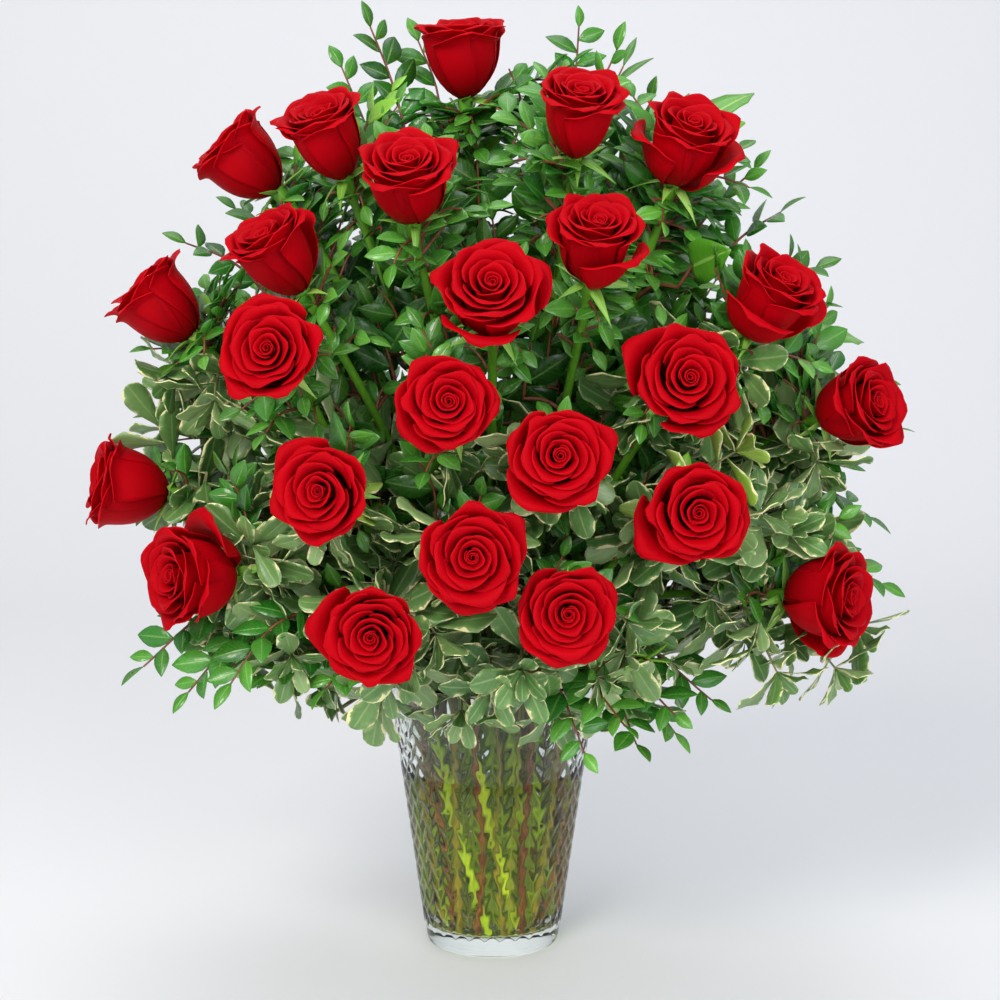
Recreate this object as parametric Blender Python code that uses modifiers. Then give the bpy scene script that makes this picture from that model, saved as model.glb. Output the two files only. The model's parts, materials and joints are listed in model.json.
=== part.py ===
"""Two dozen red roses with mixed greenery, standing in water in a flared pressed-glass vase."""

import math

import bmesh
import bpy
import numpy as np
from mathutils import Matrix, Vector

# Vase and water, metres
VASE_HEIGHT = 0.185
FOOT_RADIUS = 0.044
RIM_RADIUS = 0.070
GLASS_WALL = 0.004
GLASS_FLOOR = 0.014
FOOT_EDGE = 0.003
HEEL = 0.006
RIM_EDGE = 0.0012
WATER_DEPTH = 0.108
VASE_SIDES = 48

# Bouquet, metres above the rim and from the axis
CROWN = 0.435
SPREAD = 0.270

# Roses
BLOOM_WIDTH = 0.0655
BLOOM_DEPTH = 0.050
BLOOM_CLEARANCE = 0.0015
STEM_RADIUS = 0.0027
HIP_RADIUS = 0.0056
HIP_LENGTH = 0.012

# Greenery
BRANCH_RADIUS = 0.0018
TWIG_RADIUS = 0.0012
LEAF_THICKNESS = 0.0010
LEAF_CLEARANCE = 0.0030

# Gap between pieces that touch
GAP = 0.0003
# Turn of the bunch between the feet of the stems and the rim, degrees
TWIST = 48.0
# Angle between one stem and the next round the neck, degrees
GOLDEN_ANGLE = 137.508
# Owners of the points that leaves keep clear of, besides the row of each path
BLOOM, LEAF = -1, -2
POINTS_ABOVE_RIM = 9

# Roses, top to bottom: swing round the axis (0 is the front, + is right), rise as a share of CROWN,
# reach as a share of SPREAD, then the way the face looks (swing, lift) and its share of BLOOM_WIDTH.
ROSES = (
    (-90, 0.92, 0.07, -20, 80, 0.95),
    (29, 0.83, 0.40, 10, 60, 0.86),
    (57, 0.79, 0.52, 25, 55, 1.06),
    (-53, 0.80, 0.46, -40, 60, 0.86),
    (-79, 0.77, 0.58, -80, 45, 0.94),
    (-21, 0.74, 0.50, -5, 55, 0.92),
    (-48, 0.64, 0.63, -50, 52, 0.92),
    (-82, 0.56, 0.78, -80, 45, 0.95),
    (-38, 0.52, 0.76, -8, 15, 0.97),
    (0, 0.59, 0.66, 0, 38, 1.05),
    (22, 0.66, 0.60, 10, 55, 0.94),
    (57, 0.58, 0.74, 40, 50, 1.01),
    (-7, 0.46, 0.71, 0, 15, 0.90),
    (34, 0.48, 0.74, 8, 18, 1.06),
    (11, 0.39, 0.74, 2, 12, 0.97),
    (74, 0.42, 0.87, 45, 18, 1.00),
    (-28, 0.34, 0.75, -12, 8, 0.96),
    (-80, 0.30, 0.87, -78, 12, 1.00),
    (-57, 0.20, 0.79, -50, 5, 1.10),
    (-3, 0.26, 0.72, 0, 5, 0.99),
    (34, 0.31, 0.78, 5, 8, 1.01),
    (-21, 0.15, 0.71, -3, 0, 1.00),
    (13, 0.18, 0.70, 5, 5, 0.94),
    (64, 0.16, 0.84, 55, 5, 1.12),
)

# Leaves of each plant: length, width, distance between leaves along the twig, branch colour, leaf colour
HUCKLEBERRY = ("huckleberry", 0.025, 0.012, 0.013, (0.055, 0.20, 0.035))
PITTOSPORUM = ("pittosporum", 0.040, 0.018, 0.014, (0.13, 0.27, 0.09))
SALAL = ("salal", 0.052, 0.030, 0.024, (0.10, 0.32, 0.02))

# Branches: plant, tip (swing, rise, reach), the way the tip points (swing, lift), then the side
# twigs as (share of the way up from the rim, swing and lift of the twig, length).
BRANCHES = (
    (HUCKLEBERRY, (-90, 1.000, 0.30), (-80, 65), ((0.62, -20, 70, 0.050), (0.72, 170, 50, 0.050))),
    (HUCKLEBERRY, (90, 0.985, 0.32), (60, 75), ((0.60, 170, 40, 0.060), (0.74, 20, 78, 0.055))),
    (SALAL, (97, 0.880, 0.62), (90, 40), ((0.62, 150, 30, 0.040), (0.80, 60, 70, 0.030))),
    (PITTOSPORUM, (98, 0.640, 0.86), (90, 30), ((0.55, 95, -5, 0.075), (0.75, 150, 20, 0.050))),
    (PITTOSPORUM, (80, 0.080, 1.03), (85, -15), ((0.55, 120, 25, 0.060), (0.75, 60, -30, 0.040))),
    (HUCKLEBERRY, (-96, 0.670, 0.82), (-85, 40), ((0.55, -95, -5, 0.070), (0.72, -150, 30, 0.060))),
    (PITTOSPORUM, (-67, 0.060, 0.95), (-70, -15), ((0.60, -110, 15, 0.060), (0.78, -40, -30, 0.040))),
    (PITTOSPORUM, (44, -0.065, 0.72), (50, -45), ((0.70, 20, -30, 0.045), (0.78, 90, -20, 0.045))),
    (HUCKLEBERRY, (-141, 0.560, 0.72), (-150, 35), ((0.45, 175, 5, 0.060), (0.62, -110, -5, 0.070))),
    (HUCKLEBERRY, (141, 0.500, 0.72), (150, 30), ((0.45, -175, 35, 0.070), (0.60, 110, -10, 0.070))),
)


def facing(swing, lift):
    """Unit vector that swings from the front (-Y) towards +X and lifts off the horizontal."""
    around, up = math.radians(swing), math.radians(lift)
    return np.array((math.sin(around) * math.cos(up), -math.cos(around) * math.cos(up), math.sin(up)))


def bouquet_point(swing, rise, reach):
    """Place in the dome of the bouquet."""
    out = facing(swing, 0) * SPREAD * reach
    return out + np.array((0, 0, VASE_HEIGHT + CROWN * rise))


def outer_radius(height):
    """Radius of the vase's outside at a height."""
    return FOOT_RADIUS + (RIM_RADIUS - FOOT_RADIUS) * height / VASE_HEIGHT


def inner_radius(height):
    """Radius of the vase's inside at a height."""
    return outer_radius(height) - GLASS_WALL


def material(name, colour, roughness, alpha=1.0):
    """Principled material of one part of the bouquet."""
    made = bpy.data.materials.new(name)
    made.use_nodes = True
    shader = made.node_tree.nodes["Principled BSDF"]
    shader.inputs["Base Color"].default_value = (*colour, 1.0)
    shader.inputs["Roughness"].default_value = roughness
    shader.inputs["Metallic"].default_value = 0.0
    shader.inputs["Alpha"].default_value = alpha
    made.diffuse_color = (*colour, alpha)
    return made


def add_object(name, data, look, collection):
    """Object in the collection, with its material."""
    made = bpy.data.objects.new(name, data)
    if look is not None:
        data.materials.append(look)
    collection.objects.link(made)
    return made


def turned(name, profile, look, collection):
    """Solid of revolution: the profile runs up the inside, over the top and down the outer side."""
    mesh = bpy.data.meshes.new(name)
    draft = bmesh.new()
    corners = [draft.verts.new((radius, 0, height)) for radius, height in profile]
    for first, second in zip(corners, corners[1:]):
        draft.edges.new((first, second))
    draft.to_mesh(mesh)
    draft.free()
    made = add_object(name, mesh, look, collection)
    screw = made.modifiers.new("turn", "SCREW")
    screw.steps = screw.render_steps = VASE_SIDES
    screw.use_merge_vertices = True
    screw.merge_threshold = 0.0001
    screw.use_smooth_shade = True
    return made


def tube_curve(name, points, radii, resolution):
    """Tube along the points, with a radius at each of them."""
    curve = bpy.data.curves.new(name, "CURVE")
    curve.dimensions = "3D"
    curve.bevel_depth = 1.0
    curve.bevel_resolution = resolution
    curve.use_fill_caps = True
    spline = curve.splines.new("POLY")
    spline.points.add(len(points) - 1)
    for knot, place, radius in zip(spline.points, points, radii):
        knot.co = (*place, 1.0)
        knot.radius = radius
    return curve


def tube_mesh(points, radii, resolution, collection):
    """The same tube as a closed mesh, ready to be joined to others."""
    curve = tube_curve("tube", points, radii, resolution)
    carrier = add_object("tube", curve, None, collection)
    bpy.context.view_layer.update()
    seen = carrier.evaluated_get(bpy.context.evaluated_depsgraph_get())
    mesh = bpy.data.meshes.new_from_object(seen)
    bpy.data.objects.remove(carrier)
    bpy.data.curves.remove(curve)
    draft = bmesh.new()
    draft.from_mesh(mesh)
    bmesh.ops.remove_doubles(draft, verts=draft.verts, dist=0.00001)
    draft.to_mesh(mesh)
    draft.free()
    return mesh


def make_vase(look, collection):
    """Tapered tumbler with a thick foot, a rounded heel inside and a softened rim."""
    floor = inner_radius(GLASS_FLOOR)
    profile = [
        (0.0, GLASS_FLOOR),
        (floor - HEEL, GLASS_FLOOR),
        (floor - 0.3 * HEEL, GLASS_FLOOR + 0.3 * HEEL),
        (inner_radius(GLASS_FLOOR + HEEL), GLASS_FLOOR + HEEL),
        (inner_radius(VASE_HEIGHT - RIM_EDGE), VASE_HEIGHT - RIM_EDGE),
        (inner_radius(VASE_HEIGHT) + RIM_EDGE, VASE_HEIGHT),
        (outer_radius(VASE_HEIGHT) - RIM_EDGE, VASE_HEIGHT),
        (outer_radius(VASE_HEIGHT - RIM_EDGE), VASE_HEIGHT - RIM_EDGE),
        (outer_radius(FOOT_EDGE), FOOT_EDGE),
        (outer_radius(0) - 0.3 * FOOT_EDGE, 0.3 * FOOT_EDGE),
        (outer_radius(0) - FOOT_EDGE, 0.0),
        (0.0, 0.0),
    ]
    return turned("vase", profile, look, collection)


def make_water(stems, look, collection, guides):
    """Water up to its level, with a hole for each stem that stands in it."""
    low, high = GLASS_FLOOR + GAP, GLASS_FLOOR + WATER_DEPTH
    lean = 2.0 * GAP
    profile = [
        (0.0, high),
        (inner_radius(high) - GAP, high),
        (inner_radius(GLASS_FLOOR + HEEL) - GAP, GLASS_FLOOR + HEEL),
        (inner_radius(GLASS_FLOOR) - 0.3 * HEEL - lean, GLASS_FLOOR + 0.3 * HEEL + GAP),
        (inner_radius(GLASS_FLOOR) - HEEL - lean, low),
        (0.0, low),
    ]
    water = turned("water", profile, look, collection)
    draft = bmesh.new()
    for foot, neck, radius in stems:
        run = Vector(neck - foot)
        around = Matrix.Translation(Vector(foot)) @ run.to_track_quat("Z", "Y").to_matrix().to_4x4()
        sleeve = (radius + GAP) / math.cos(math.pi / 6)
        middle = Matrix.Translation((0, 0, run.length / 2 - HEEL))
        bmesh.ops.create_cone(draft, cap_ends=True, segments=6, radius1=sleeve, radius2=sleeve,
                              depth=run.length + 2 * HEEL, matrix=around @ middle)
    mesh = bpy.data.meshes.new("stem_sleeves")
    draft.to_mesh(mesh)
    draft.free()
    sleeves = add_object("stem_sleeves", mesh, None, guides)
    sleeves.hide_render = True
    sleeves.display_type = "WIRE"
    cut = water.modifiers.new("stems", "BOOLEAN")
    cut.operation = "DIFFERENCE"
    cut.solver = "EXACT"
    cut.object = sleeves
    return water


def bloom_places():
    """Centres, facings and widths of the blooms, eased apart until their petals clear each other."""
    centres = np.array([bouquet_point(*rose[:3]) for rose in ROSES])
    faces = np.array([facing(*rose[3:5]) for rose in ROSES])
    widths = np.array([rose[5] * BLOOM_WIDTH for rose in ROSES])
    need = (widths[:, None] + widths[None]) / 2 + BLOOM_CLEARANCE
    for _ in range(200):
        apart = centres[:, None] - centres[None]
        distance = np.linalg.norm(apart, axis=2) + np.eye(len(centres))
        short = np.where(distance < need, need - distance, 0.0)
        np.fill_diagonal(short, 0.0)
        if short.max() < 1e-6:
            break
        centres = centres + (apart / distance[..., None] * short[..., None]).sum(axis=1) * 0.5
    return centres, faces, widths


def make_bloom(name, centre, face, width, roll, look, collection):
    """Open rose: a deep bowl with five reflexed lobes round a cupped, raised heart."""
    rings = ((0.0, 0.36, 0), (0.24, 0.40, 0), (0.40, 0.28, 0), (0.70, 0.45, 1), (0.99, 0.36, 3),
             (0.90, 0.22, 2), (0.80, -0.06, 0), (0.64, -0.38, 0), (0.22, -0.50, 0), (0.0, -0.50, 0))
    draft = bmesh.new()
    bmesh.ops.create_uvsphere(draft, u_segments=10, v_segments=len(rings) - 1, radius=1.0)
    for vert in draft.verts:
        x, y, z = vert.co
        ring = round(math.acos(max(-1.0, min(1.0, z))) / math.pi * (len(rings) - 1))
        reach, height, lobe = rings[ring]
        around = math.atan2(y, x)
        wave = math.cos(5 * around) * lobe
        radius = width / 2 * reach * (1 + 0.02 * wave)
        vert.co = (radius * math.cos(around), radius * math.sin(around),
                   BLOOM_DEPTH * (height - 0.015 * wave))
    mesh = bpy.data.meshes.new(name)
    draft.to_mesh(mesh)
    draft.free()
    mesh.shade_smooth()
    bloom = add_object(name, mesh, look, collection)
    turn = Vector(face).to_track_quat("Z", "Y").to_matrix().to_4x4()
    bloom.matrix_world = Matrix.Translation(Vector(centre)) @ turn @ Matrix.Rotation(roll, 4, "Z")
    return bloom


def neck_points(count):
    """Even spiral of points that fills the neck of the vase."""
    radius = inner_radius(VASE_HEIGHT) - RIM_EDGE - HIP_RADIUS
    turn = math.radians(GOLDEN_ANGLE)
    places = []
    for index in range(count):
        out = radius * math.sqrt((index + 0.5) / count)
        places.append((out * math.cos(index * turn), out * math.sin(index * turn)))
    return np.array(places)


def share_out(places, goals):
    """Give each goal the neck point that lies nearest its own side of the bouquet."""
    wanted = goals[:, :2] * np.linalg.norm(places, axis=1).max() / np.linalg.norm(goals[:, :2], axis=1).max()
    cost = ((wanted[:, None] - places[None]) ** 2).sum(axis=2)
    order = list(range(len(goals)))
    improved = True
    while improved:
        improved = False
        for first in range(len(order)):
            for second in range(first + 1, len(order)):
                a, b = order[first], order[second]
                if cost[first, b] + cost[second, a] < cost[first, a] + cost[second, b] - 1e-12:
                    order[first], order[second] = b, a
                    improved = True
    return places[order]


def foot_of(neck, radius):
    """Foot of a stem: the bunch narrows and turns on its way down to the floor of the vase."""
    reach = inner_radius(GLASS_FLOOR) - HEEL - STEM_RADIUS
    share = reach / (inner_radius(VASE_HEIGHT) - RIM_EDGE - HIP_RADIUS)
    turn = math.radians(TWIST)
    x, y = neck
    foot = np.array((x * math.cos(turn) - y * math.sin(turn), x * math.sin(turn) + y * math.cos(turn)))
    foot = foot * share
    tilt = math.hypot(x - foot[0], y - foot[1]) / (VASE_HEIGHT - GLASS_FLOOR)
    return np.array((foot[0], foot[1], GLASS_FLOOR + GAP + radius * tilt))


def arc(start, out, end, arrive, count):
    """Smooth path that leaves the start along one direction and arrives at the end along another."""
    length = np.linalg.norm(end - start)
    first = start + out * length * 0.42
    second = end - arrive * min(0.34 * length, 0.075)
    shares = np.linspace(0, 1, count)[:, None]
    rest = 1 - shares
    return (rest ** 3 * start + 3 * rest ** 2 * shares * first
            + 3 * rest * shares ** 2 * second + shares ** 3 * end)


def ease_apart(paths, radii, centres, widths):
    """Move the free stretches of the paths until they clear each other, the blooms and the rim."""
    count, points, _ = paths.shape
    steps = (points - 1) * 3
    spots = np.linspace(0, points - 1, steps + 1)
    blend = np.maximum(0, 1 - np.abs(spots[:, None] - np.arange(points)[None]))
    loose = np.ones(points)
    loose[:1] = loose[-1:] = 0
    loose[1] = loose[-2] = 0.5
    owner = np.repeat(np.arange(count), steps + 1)
    need = radii[owner][:, None] + radii[owner][None] + 2 * LEAF_CLEARANCE
    need[owner[:, None] == owner[None]] = 0
    rim = (inner_radius(VASE_HEIGHT) + outer_radius(VASE_HEIGHT)) / 2
    for _ in range(70):
        spots3 = np.einsum("sp,cpk->csk", blend, paths).reshape(-1, 3)
        apart = spots3[:, None] - spots3[None]
        distance = np.sqrt((apart ** 2).sum(axis=2)) + 1e-9
        short = np.clip(need - distance, 0, None)
        push = (apart * (short / distance)[..., None]).sum(axis=1) * 0.3
        away = spots3[:, None] - centres[None]
        reach = np.linalg.norm(away, axis=2)
        short = np.clip(widths / 2 + radii[owner][:, None] + LEAF_CLEARANCE - reach, 0, None)
        own = owner[:, None] == np.arange(len(centres))[None]
        short[own] = 0
        push += (away * (short / reach)[..., None]).sum(axis=1)
        out = np.linalg.norm(spots3[:, :2], axis=1)
        over = np.stack((spots3[:, 0] * (1 - rim / out), spots3[:, 1] * (1 - rim / out),
                         spots3[:, 2] - VASE_HEIGHT), axis=1)
        reach = np.linalg.norm(over, axis=1)
        short = np.clip(GLASS_WALL / 2 + radii[owner] + LEAF_CLEARANCE - reach, 0, None)
        push += over * (short / reach)[:, None]
        moved = np.einsum("sp,csk->cpk", blend, push.reshape(count, steps + 1, 3))
        moved = moved / blend.sum(axis=0)[None, :, None] * 1.6
        paths = paths + moved * loose[None, :, None]
        middle = (paths[:, :-2] + paths[:, 2:]) / 2 - paths[:, 1:-1]
        paths[:, 1:-1] += middle * 0.06 * loose[None, 1:-1, None]
    return paths


def frame_along(direction):
    """Two unit vectors square to a direction."""
    helper = np.array((0.0, 0.0, 1.0)) if abs(direction[2]) < 0.9 else np.array((1.0, 0.0, 0.0))
    side = np.cross(direction, helper)
    side /= np.linalg.norm(side)
    return side, np.cross(side, direction)


def add_leaf(draft, base, along, flat, length, width):
    """Pointed leaf blade: a thin six-cornered slab that starts inside its twig."""
    side = np.cross(along, flat)
    turn = Matrix((side * width / math.sqrt(3), along * length / 2, flat * LEAF_THICKNESS))
    place = Matrix.Translation(Vector(base + along * length / 2)) @ turn.transposed().to_4x4()
    bmesh.ops.create_cone(draft, cap_ends=True, segments=6, radius1=1, radius2=1, depth=1, matrix=place)


class Clearance:
    """Points of everything placed so far, each with its reach and its owner: a bloom, a leaf or a path's row."""

    def __init__(self, centres, widths):
        self.places = [*centres]
        self.reach = [*(widths / 2)]
        self.owner = [BLOOM] * len(centres)

    def add(self, points, reach, owner):
        """Add points of a piece, which its owner may pass."""
        self.places.extend(points)
        self.reach.extend([reach] * len(points))
        self.owner.extend([owner] * len(points))

    def is_clear(self, points, reach, owner):
        """Whether the points stay away from all that others own and from the vase."""
        places, reaches = np.array(self.places), np.array(self.reach)
        other = np.array(self.owner) != owner
        distance = np.linalg.norm(points[:, None] - places[None, other], axis=2)
        if (distance < reaches[other] + reach + LEAF_CLEARANCE).any():
            return False
        low = points[points[:, 2] < VASE_HEIGHT + reach + LEAF_CLEARANCE]
        return all(math.hypot(x, y) > outer_radius(z) + reach + LEAF_CLEARANCE for x, y, z in low)


def leaf_points(base, along, flat, length, width):
    """Corners and midline of a leaf blade, to test what it comes near."""
    side = np.cross(along, flat)
    spots = [(0.25, 0), (0.4, 0.45), (0.4, -0.45), (0.6, 0), (0.75, 0.4), (0.75, -0.4), (1.0, 0)]
    return np.array([base + along * length * far + side * width * off for far, off in spots])


def leafy(draft, points, plant, first, owner, clearance, tip=True):
    """Leaves set alternately along a twig, with one at its end; one that would touch turns away."""
    _, length, width, spacing, _ = plant
    points = np.array(points)
    lengths = np.linalg.norm(np.diff(points, axis=0), axis=1)
    along_all = np.concatenate(([0.0], np.cumsum(lengths)))
    total = along_all[-1]
    spots = list(np.arange(total - spacing, first * total, -spacing))[::-1]
    for index, spot in enumerate(spots + ([total] if tip else [])):
        base = np.array([np.interp(spot, along_all, points[:, axis]) for axis in range(3)])
        segment = min(int(np.searchsorted(along_all, spot, side="right")) - 1, len(points) - 2)
        run = (points[segment + 1] - points[segment]) / lengths[segment]
        side, flat = frame_along(run)
        last = tip and index == len(spots)
        if last:
            base = base - run * 2.5 * TWIG_RADIUS
        for trial in range(1 if last else 6):
            roll = math.radians(index * 180 + 40 * ((trial + 1) // 2) * (-1) ** trial)
            out = side * math.cos(roll) + flat * math.sin(roll)
            along = run if last else run * 0.55 + out * 0.835
            along = along / np.linalg.norm(along)
            blade = np.cross(along, np.cross(run, out) if not last else side)
            blade /= np.linalg.norm(blade)
            spots_on_leaf = leaf_points(base, along, blade, length, width)
            if last or clearance.is_clear(spots_on_leaf, LEAF_THICKNESS, owner):
                add_leaf(draft, base, along, blade, length, width)
                clearance.add(spots_on_leaf, width * 0.22, LEAF)
                break


def make_branch(name, row, path, plant, twigs, look, collection, guides, clearance):
    """Branch with its side twigs and leaves, joined into one body."""
    wood = list(np.linspace(BRANCH_RADIUS, TWIG_RADIUS, len(path)))
    branch = add_object(name, tube_mesh(path, wood, 1, collection), look, collection)
    above = path[2:]
    leaves = bmesh.new()
    twig_draft = bmesh.new()
    lengths = np.concatenate(([0.0], np.cumsum(np.linalg.norm(np.diff(above, axis=0), axis=1))))
    for share, swing, lift, length in twigs:
        spot = share * lengths[-1]
        base = np.array([np.interp(spot, lengths, above[:, axis]) for axis in range(3)])
        end = base + facing(swing, lift) * length
        middle = (base + end) / 2 + np.array((0, 0, 0.08 * length))
        twig = tube_mesh([base, middle, end], [TWIG_RADIUS * 0.98, TWIG_RADIUS, TWIG_RADIUS * 0.9], 0, guides)
        twig_draft.from_mesh(twig)
        bpy.data.meshes.remove(twig)
        clearance.add([base * (1 - t) + middle * t for t in (0.5, 1.0)], TWIG_RADIUS, row)
        clearance.add([middle * (1 - t) + end * t for t in (0.5, 1.0)], TWIG_RADIUS, row)
        leafy(leaves, [base, middle, end], plant, 0.30, row, clearance)
    leafy(leaves, above, plant, 0.62, row, clearance)
    for part, draft in (("twigs", twig_draft), ("leaves", leaves)):
        mesh = bpy.data.meshes.new(f"{name}_{part}")
        draft.to_mesh(mesh)
        draft.free()
        extra = add_object(f"{name}_{part}", mesh, None, guides)
        extra.hide_render = True
        extra.display_type = "WIRE"
        join = branch.modifiers.new(part, "BOOLEAN")
        join.operation = "UNION"
        join.solver = "EXACT"
        join.object = extra
    return branch


def build():
    """The whole bouquet in its vase."""
    for old in list(bpy.data.objects):
        bpy.data.objects.remove(old)
    parts = bpy.data.collections.new("roses_in_a_vase")
    guides = bpy.data.collections.new("guides")
    for group in (parts, guides):
        bpy.context.scene.collection.children.link(group)

    petals = material("rose_petals", (0.62, 0.006, 0.022), 0.55)
    green = material("rose_stem", (0.12, 0.34, 0.03), 0.45)
    glass = material("clear_glass", (0.92, 0.95, 0.94), 0.03, 0.35)
    liquid = material("water", (0.85, 0.92, 0.90), 0.02, 0.4)
    foliage = {plant[0]: material(f"{plant[0]}_leaves", plant[4], 0.4)
               for plant in (HUCKLEBERRY, PITTOSPORUM, SALAL)}

    make_vase(glass, parts)
    centres, faces, widths = bloom_places()
    hips = centres - faces * (BLOOM_DEPTH / 2 + GAP)
    ends, arrivals = [*(hips - faces * HIP_LENGTH)], [*faces]
    for plant, tip, points_to, _ in BRANCHES:
        arrive = facing(*points_to)
        ends.append(bouquet_point(*tip) - arrive * plant[1])
        arrivals.append(arrive)
    radii = np.array([STEM_RADIUS] * len(ROSES) + [BRANCH_RADIUS] * len(BRANCHES))
    necks = share_out(neck_points(len(ends)), np.array(ends))

    feet, tops, paths = [], [], []
    for neck, end, arrive, radius in zip(necks, ends, arrivals, radii):
        foot = foot_of(neck, radius)
        top = np.array((*neck, VASE_HEIGHT))
        out = (top - foot) / np.linalg.norm(top - foot)
        feet.append(foot)
        tops.append(top)
        paths.append(arc(top, out, end, arrive, POINTS_ABOVE_RIM))
    paths = ease_apart(np.array(paths), radii, centres, widths)

    clearance = Clearance(centres, widths)
    for index, (path, radius) in enumerate(zip(paths, radii)):
        fine = [path[k] * (1 - t) + path[k + 1] * t for k in range(len(path) - 1) for t in (0, 0.25, 0.5, 0.75)]
        clearance.add(fine, radius, index)

    for index, (face, width) in enumerate(zip(faces, widths)):
        number = f"{index + 1:02d}"
        make_bloom(f"rose_bloom_{number}", centres[index], face, width,
                   math.radians(index * GOLDEN_ANGLE), petals, parts)
        route = [feet[index], *paths[index], hips[index] - faces[index] * HIP_LENGTH * 0.45, hips[index]]
        thick = [STEM_RADIUS] * (len(route) - 2) + [HIP_RADIUS * 0.92, HIP_RADIUS]
        curve = tube_curve(f"rose_stem_{number}", route, thick, 1)
        add_object(f"rose_stem_{number}", curve, green, parts)

    names = branch_names()
    for index, (plant, _, _, twigs) in enumerate(BRANCHES):
        row = index + len(ROSES)
        path = np.array([feet[row], *paths[row]])
        make_branch(names[index], row, path, plant, twigs, foliage[plant[0]], parts, guides, clearance)

    make_water(list(zip(feet, tops, radii)), liquid, parts, guides)
    bpy.context.view_layer.update()


def branch_names():
    """Name of each branch: its plant and its number among that plant's branches."""
    names, counts = [], {}
    for plant, *_ in BRANCHES:
        counts[plant[0]] = counts.get(plant[0], 0) + 1
        names.append(f"{plant[0]}_branch_{counts[plant[0]]}")
    return names


build()
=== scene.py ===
"""Looks of the bouquet: red roses, mixed greenery, water and a pressed-glass vase."""

import json
import math

import bmesh
import bpy
import numpy as np
from mathutils import Matrix, Vector

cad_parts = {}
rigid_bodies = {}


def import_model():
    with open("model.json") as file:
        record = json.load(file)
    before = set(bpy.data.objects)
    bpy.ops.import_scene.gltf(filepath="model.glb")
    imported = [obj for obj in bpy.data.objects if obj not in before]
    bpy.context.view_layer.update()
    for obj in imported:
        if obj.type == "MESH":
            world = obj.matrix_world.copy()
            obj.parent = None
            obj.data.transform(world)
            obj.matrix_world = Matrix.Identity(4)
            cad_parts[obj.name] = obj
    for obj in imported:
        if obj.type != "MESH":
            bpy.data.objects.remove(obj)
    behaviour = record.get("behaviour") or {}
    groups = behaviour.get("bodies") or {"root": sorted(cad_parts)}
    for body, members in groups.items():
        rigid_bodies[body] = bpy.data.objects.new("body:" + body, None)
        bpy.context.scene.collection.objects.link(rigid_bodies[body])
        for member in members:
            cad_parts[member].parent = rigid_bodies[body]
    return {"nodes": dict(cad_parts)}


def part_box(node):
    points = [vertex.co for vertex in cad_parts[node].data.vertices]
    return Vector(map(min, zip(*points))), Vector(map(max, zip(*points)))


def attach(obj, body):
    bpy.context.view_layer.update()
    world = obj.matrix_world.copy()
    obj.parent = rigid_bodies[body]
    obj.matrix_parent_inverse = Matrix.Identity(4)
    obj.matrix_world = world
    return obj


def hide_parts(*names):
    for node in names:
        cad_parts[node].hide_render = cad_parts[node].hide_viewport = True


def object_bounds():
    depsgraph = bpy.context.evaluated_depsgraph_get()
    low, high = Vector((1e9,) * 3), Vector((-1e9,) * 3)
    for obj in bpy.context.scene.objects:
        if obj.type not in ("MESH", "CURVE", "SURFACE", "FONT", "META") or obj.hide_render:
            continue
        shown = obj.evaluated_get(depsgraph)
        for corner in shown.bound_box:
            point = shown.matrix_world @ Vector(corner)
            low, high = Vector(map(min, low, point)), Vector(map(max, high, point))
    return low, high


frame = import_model()
CAD_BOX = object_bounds()
NODES = frame["nodes"]
SCENE = bpy.context.scene
BLOOM_COUNT = 24
BLOOM_DEPTH = 0.050
GOLDEN = math.radians(137.508)


# ---------------------------------------------------------------- small tools

def srgb(code, alpha=1.0):
    """Linear colour of a hex code."""
    parts = [int(code[i:i + 2], 16) / 255 for i in (1, 3, 5)]
    return (*[p / 12.92 if p <= 0.04045 else ((p + 0.055) / 1.055) ** 2.4 for p in parts], alpha)


def plug(tree, target, value):
    """Input set to a value, or fed by a socket or by a node's own output."""
    if isinstance(value, bpy.types.Node):
        value = next(socket for socket in value.outputs if socket.enabled)
    if isinstance(value, bpy.types.NodeSocket):
        tree.links.new(value, target)
    else:
        target.default_value = value


def add(tree, kind, inputs=None, stops=(), **settings):
    """Node in a tree with its settings and its colour stops, its inputs set to values or fed by sockets or nodes."""
    made = tree.nodes.new(kind)
    for key, value in settings.items():
        setattr(made, key, value)
    while stops and len(made.color_ramp.elements) < len(stops):
        made.color_ramp.elements.new(0.5)
    for element, (place, code) in zip(made.color_ramp.elements if stops else (), stops):
        element.position = place
        element.color = srgb(code)
    for key, value in (inputs or {}).items():
        plug(tree, made.inputs[key], value)
    return made


def surface(name):
    """New material with its tree and its Principled shader."""
    made = bpy.data.materials.new(name)
    made.use_nodes = True
    return made, made.node_tree, made.node_tree.nodes["Principled BSDF"]


def grid_faces(rows, columns, start=0, closed=False):
    """Faces of a grid of points, row by row; a closed grid joins its last column to its first."""
    faces = []
    for row in range(rows - 1):
        for column in range(columns if closed else columns - 1):
            after = (column + 1) % columns
            a, b = start + row * columns + column, start + row * columns + after
            faces.append((a, b, b + columns, a + columns))
    return faces


def mesh_object(name, points, faces, uvs=None, shades=None):
    """Object from points in metres, with a UV and a shade for every point where they are given."""
    mesh = bpy.data.meshes.new(name)
    mesh.from_pydata([tuple(p) for p in points], [], faces)
    corners = np.zeros(len(mesh.loops), dtype=np.int32)
    mesh.loops.foreach_get("vertex_index", corners)
    if uvs is not None:
        layer = mesh.uv_layers.new(name="UVMap")
        layer.data.foreach_set("uv", np.asarray(uvs, dtype=np.float32)[corners].ravel())
    if shades is not None:
        layer = mesh.attributes.new("shade", "FLOAT", "POINT")
        layer.data.foreach_set("value", np.asarray(shades, dtype=np.float32))
    mesh.shade_smooth()
    made = bpy.data.objects.new(name, mesh)
    SCENE.collection.objects.link(made)
    return made


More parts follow.
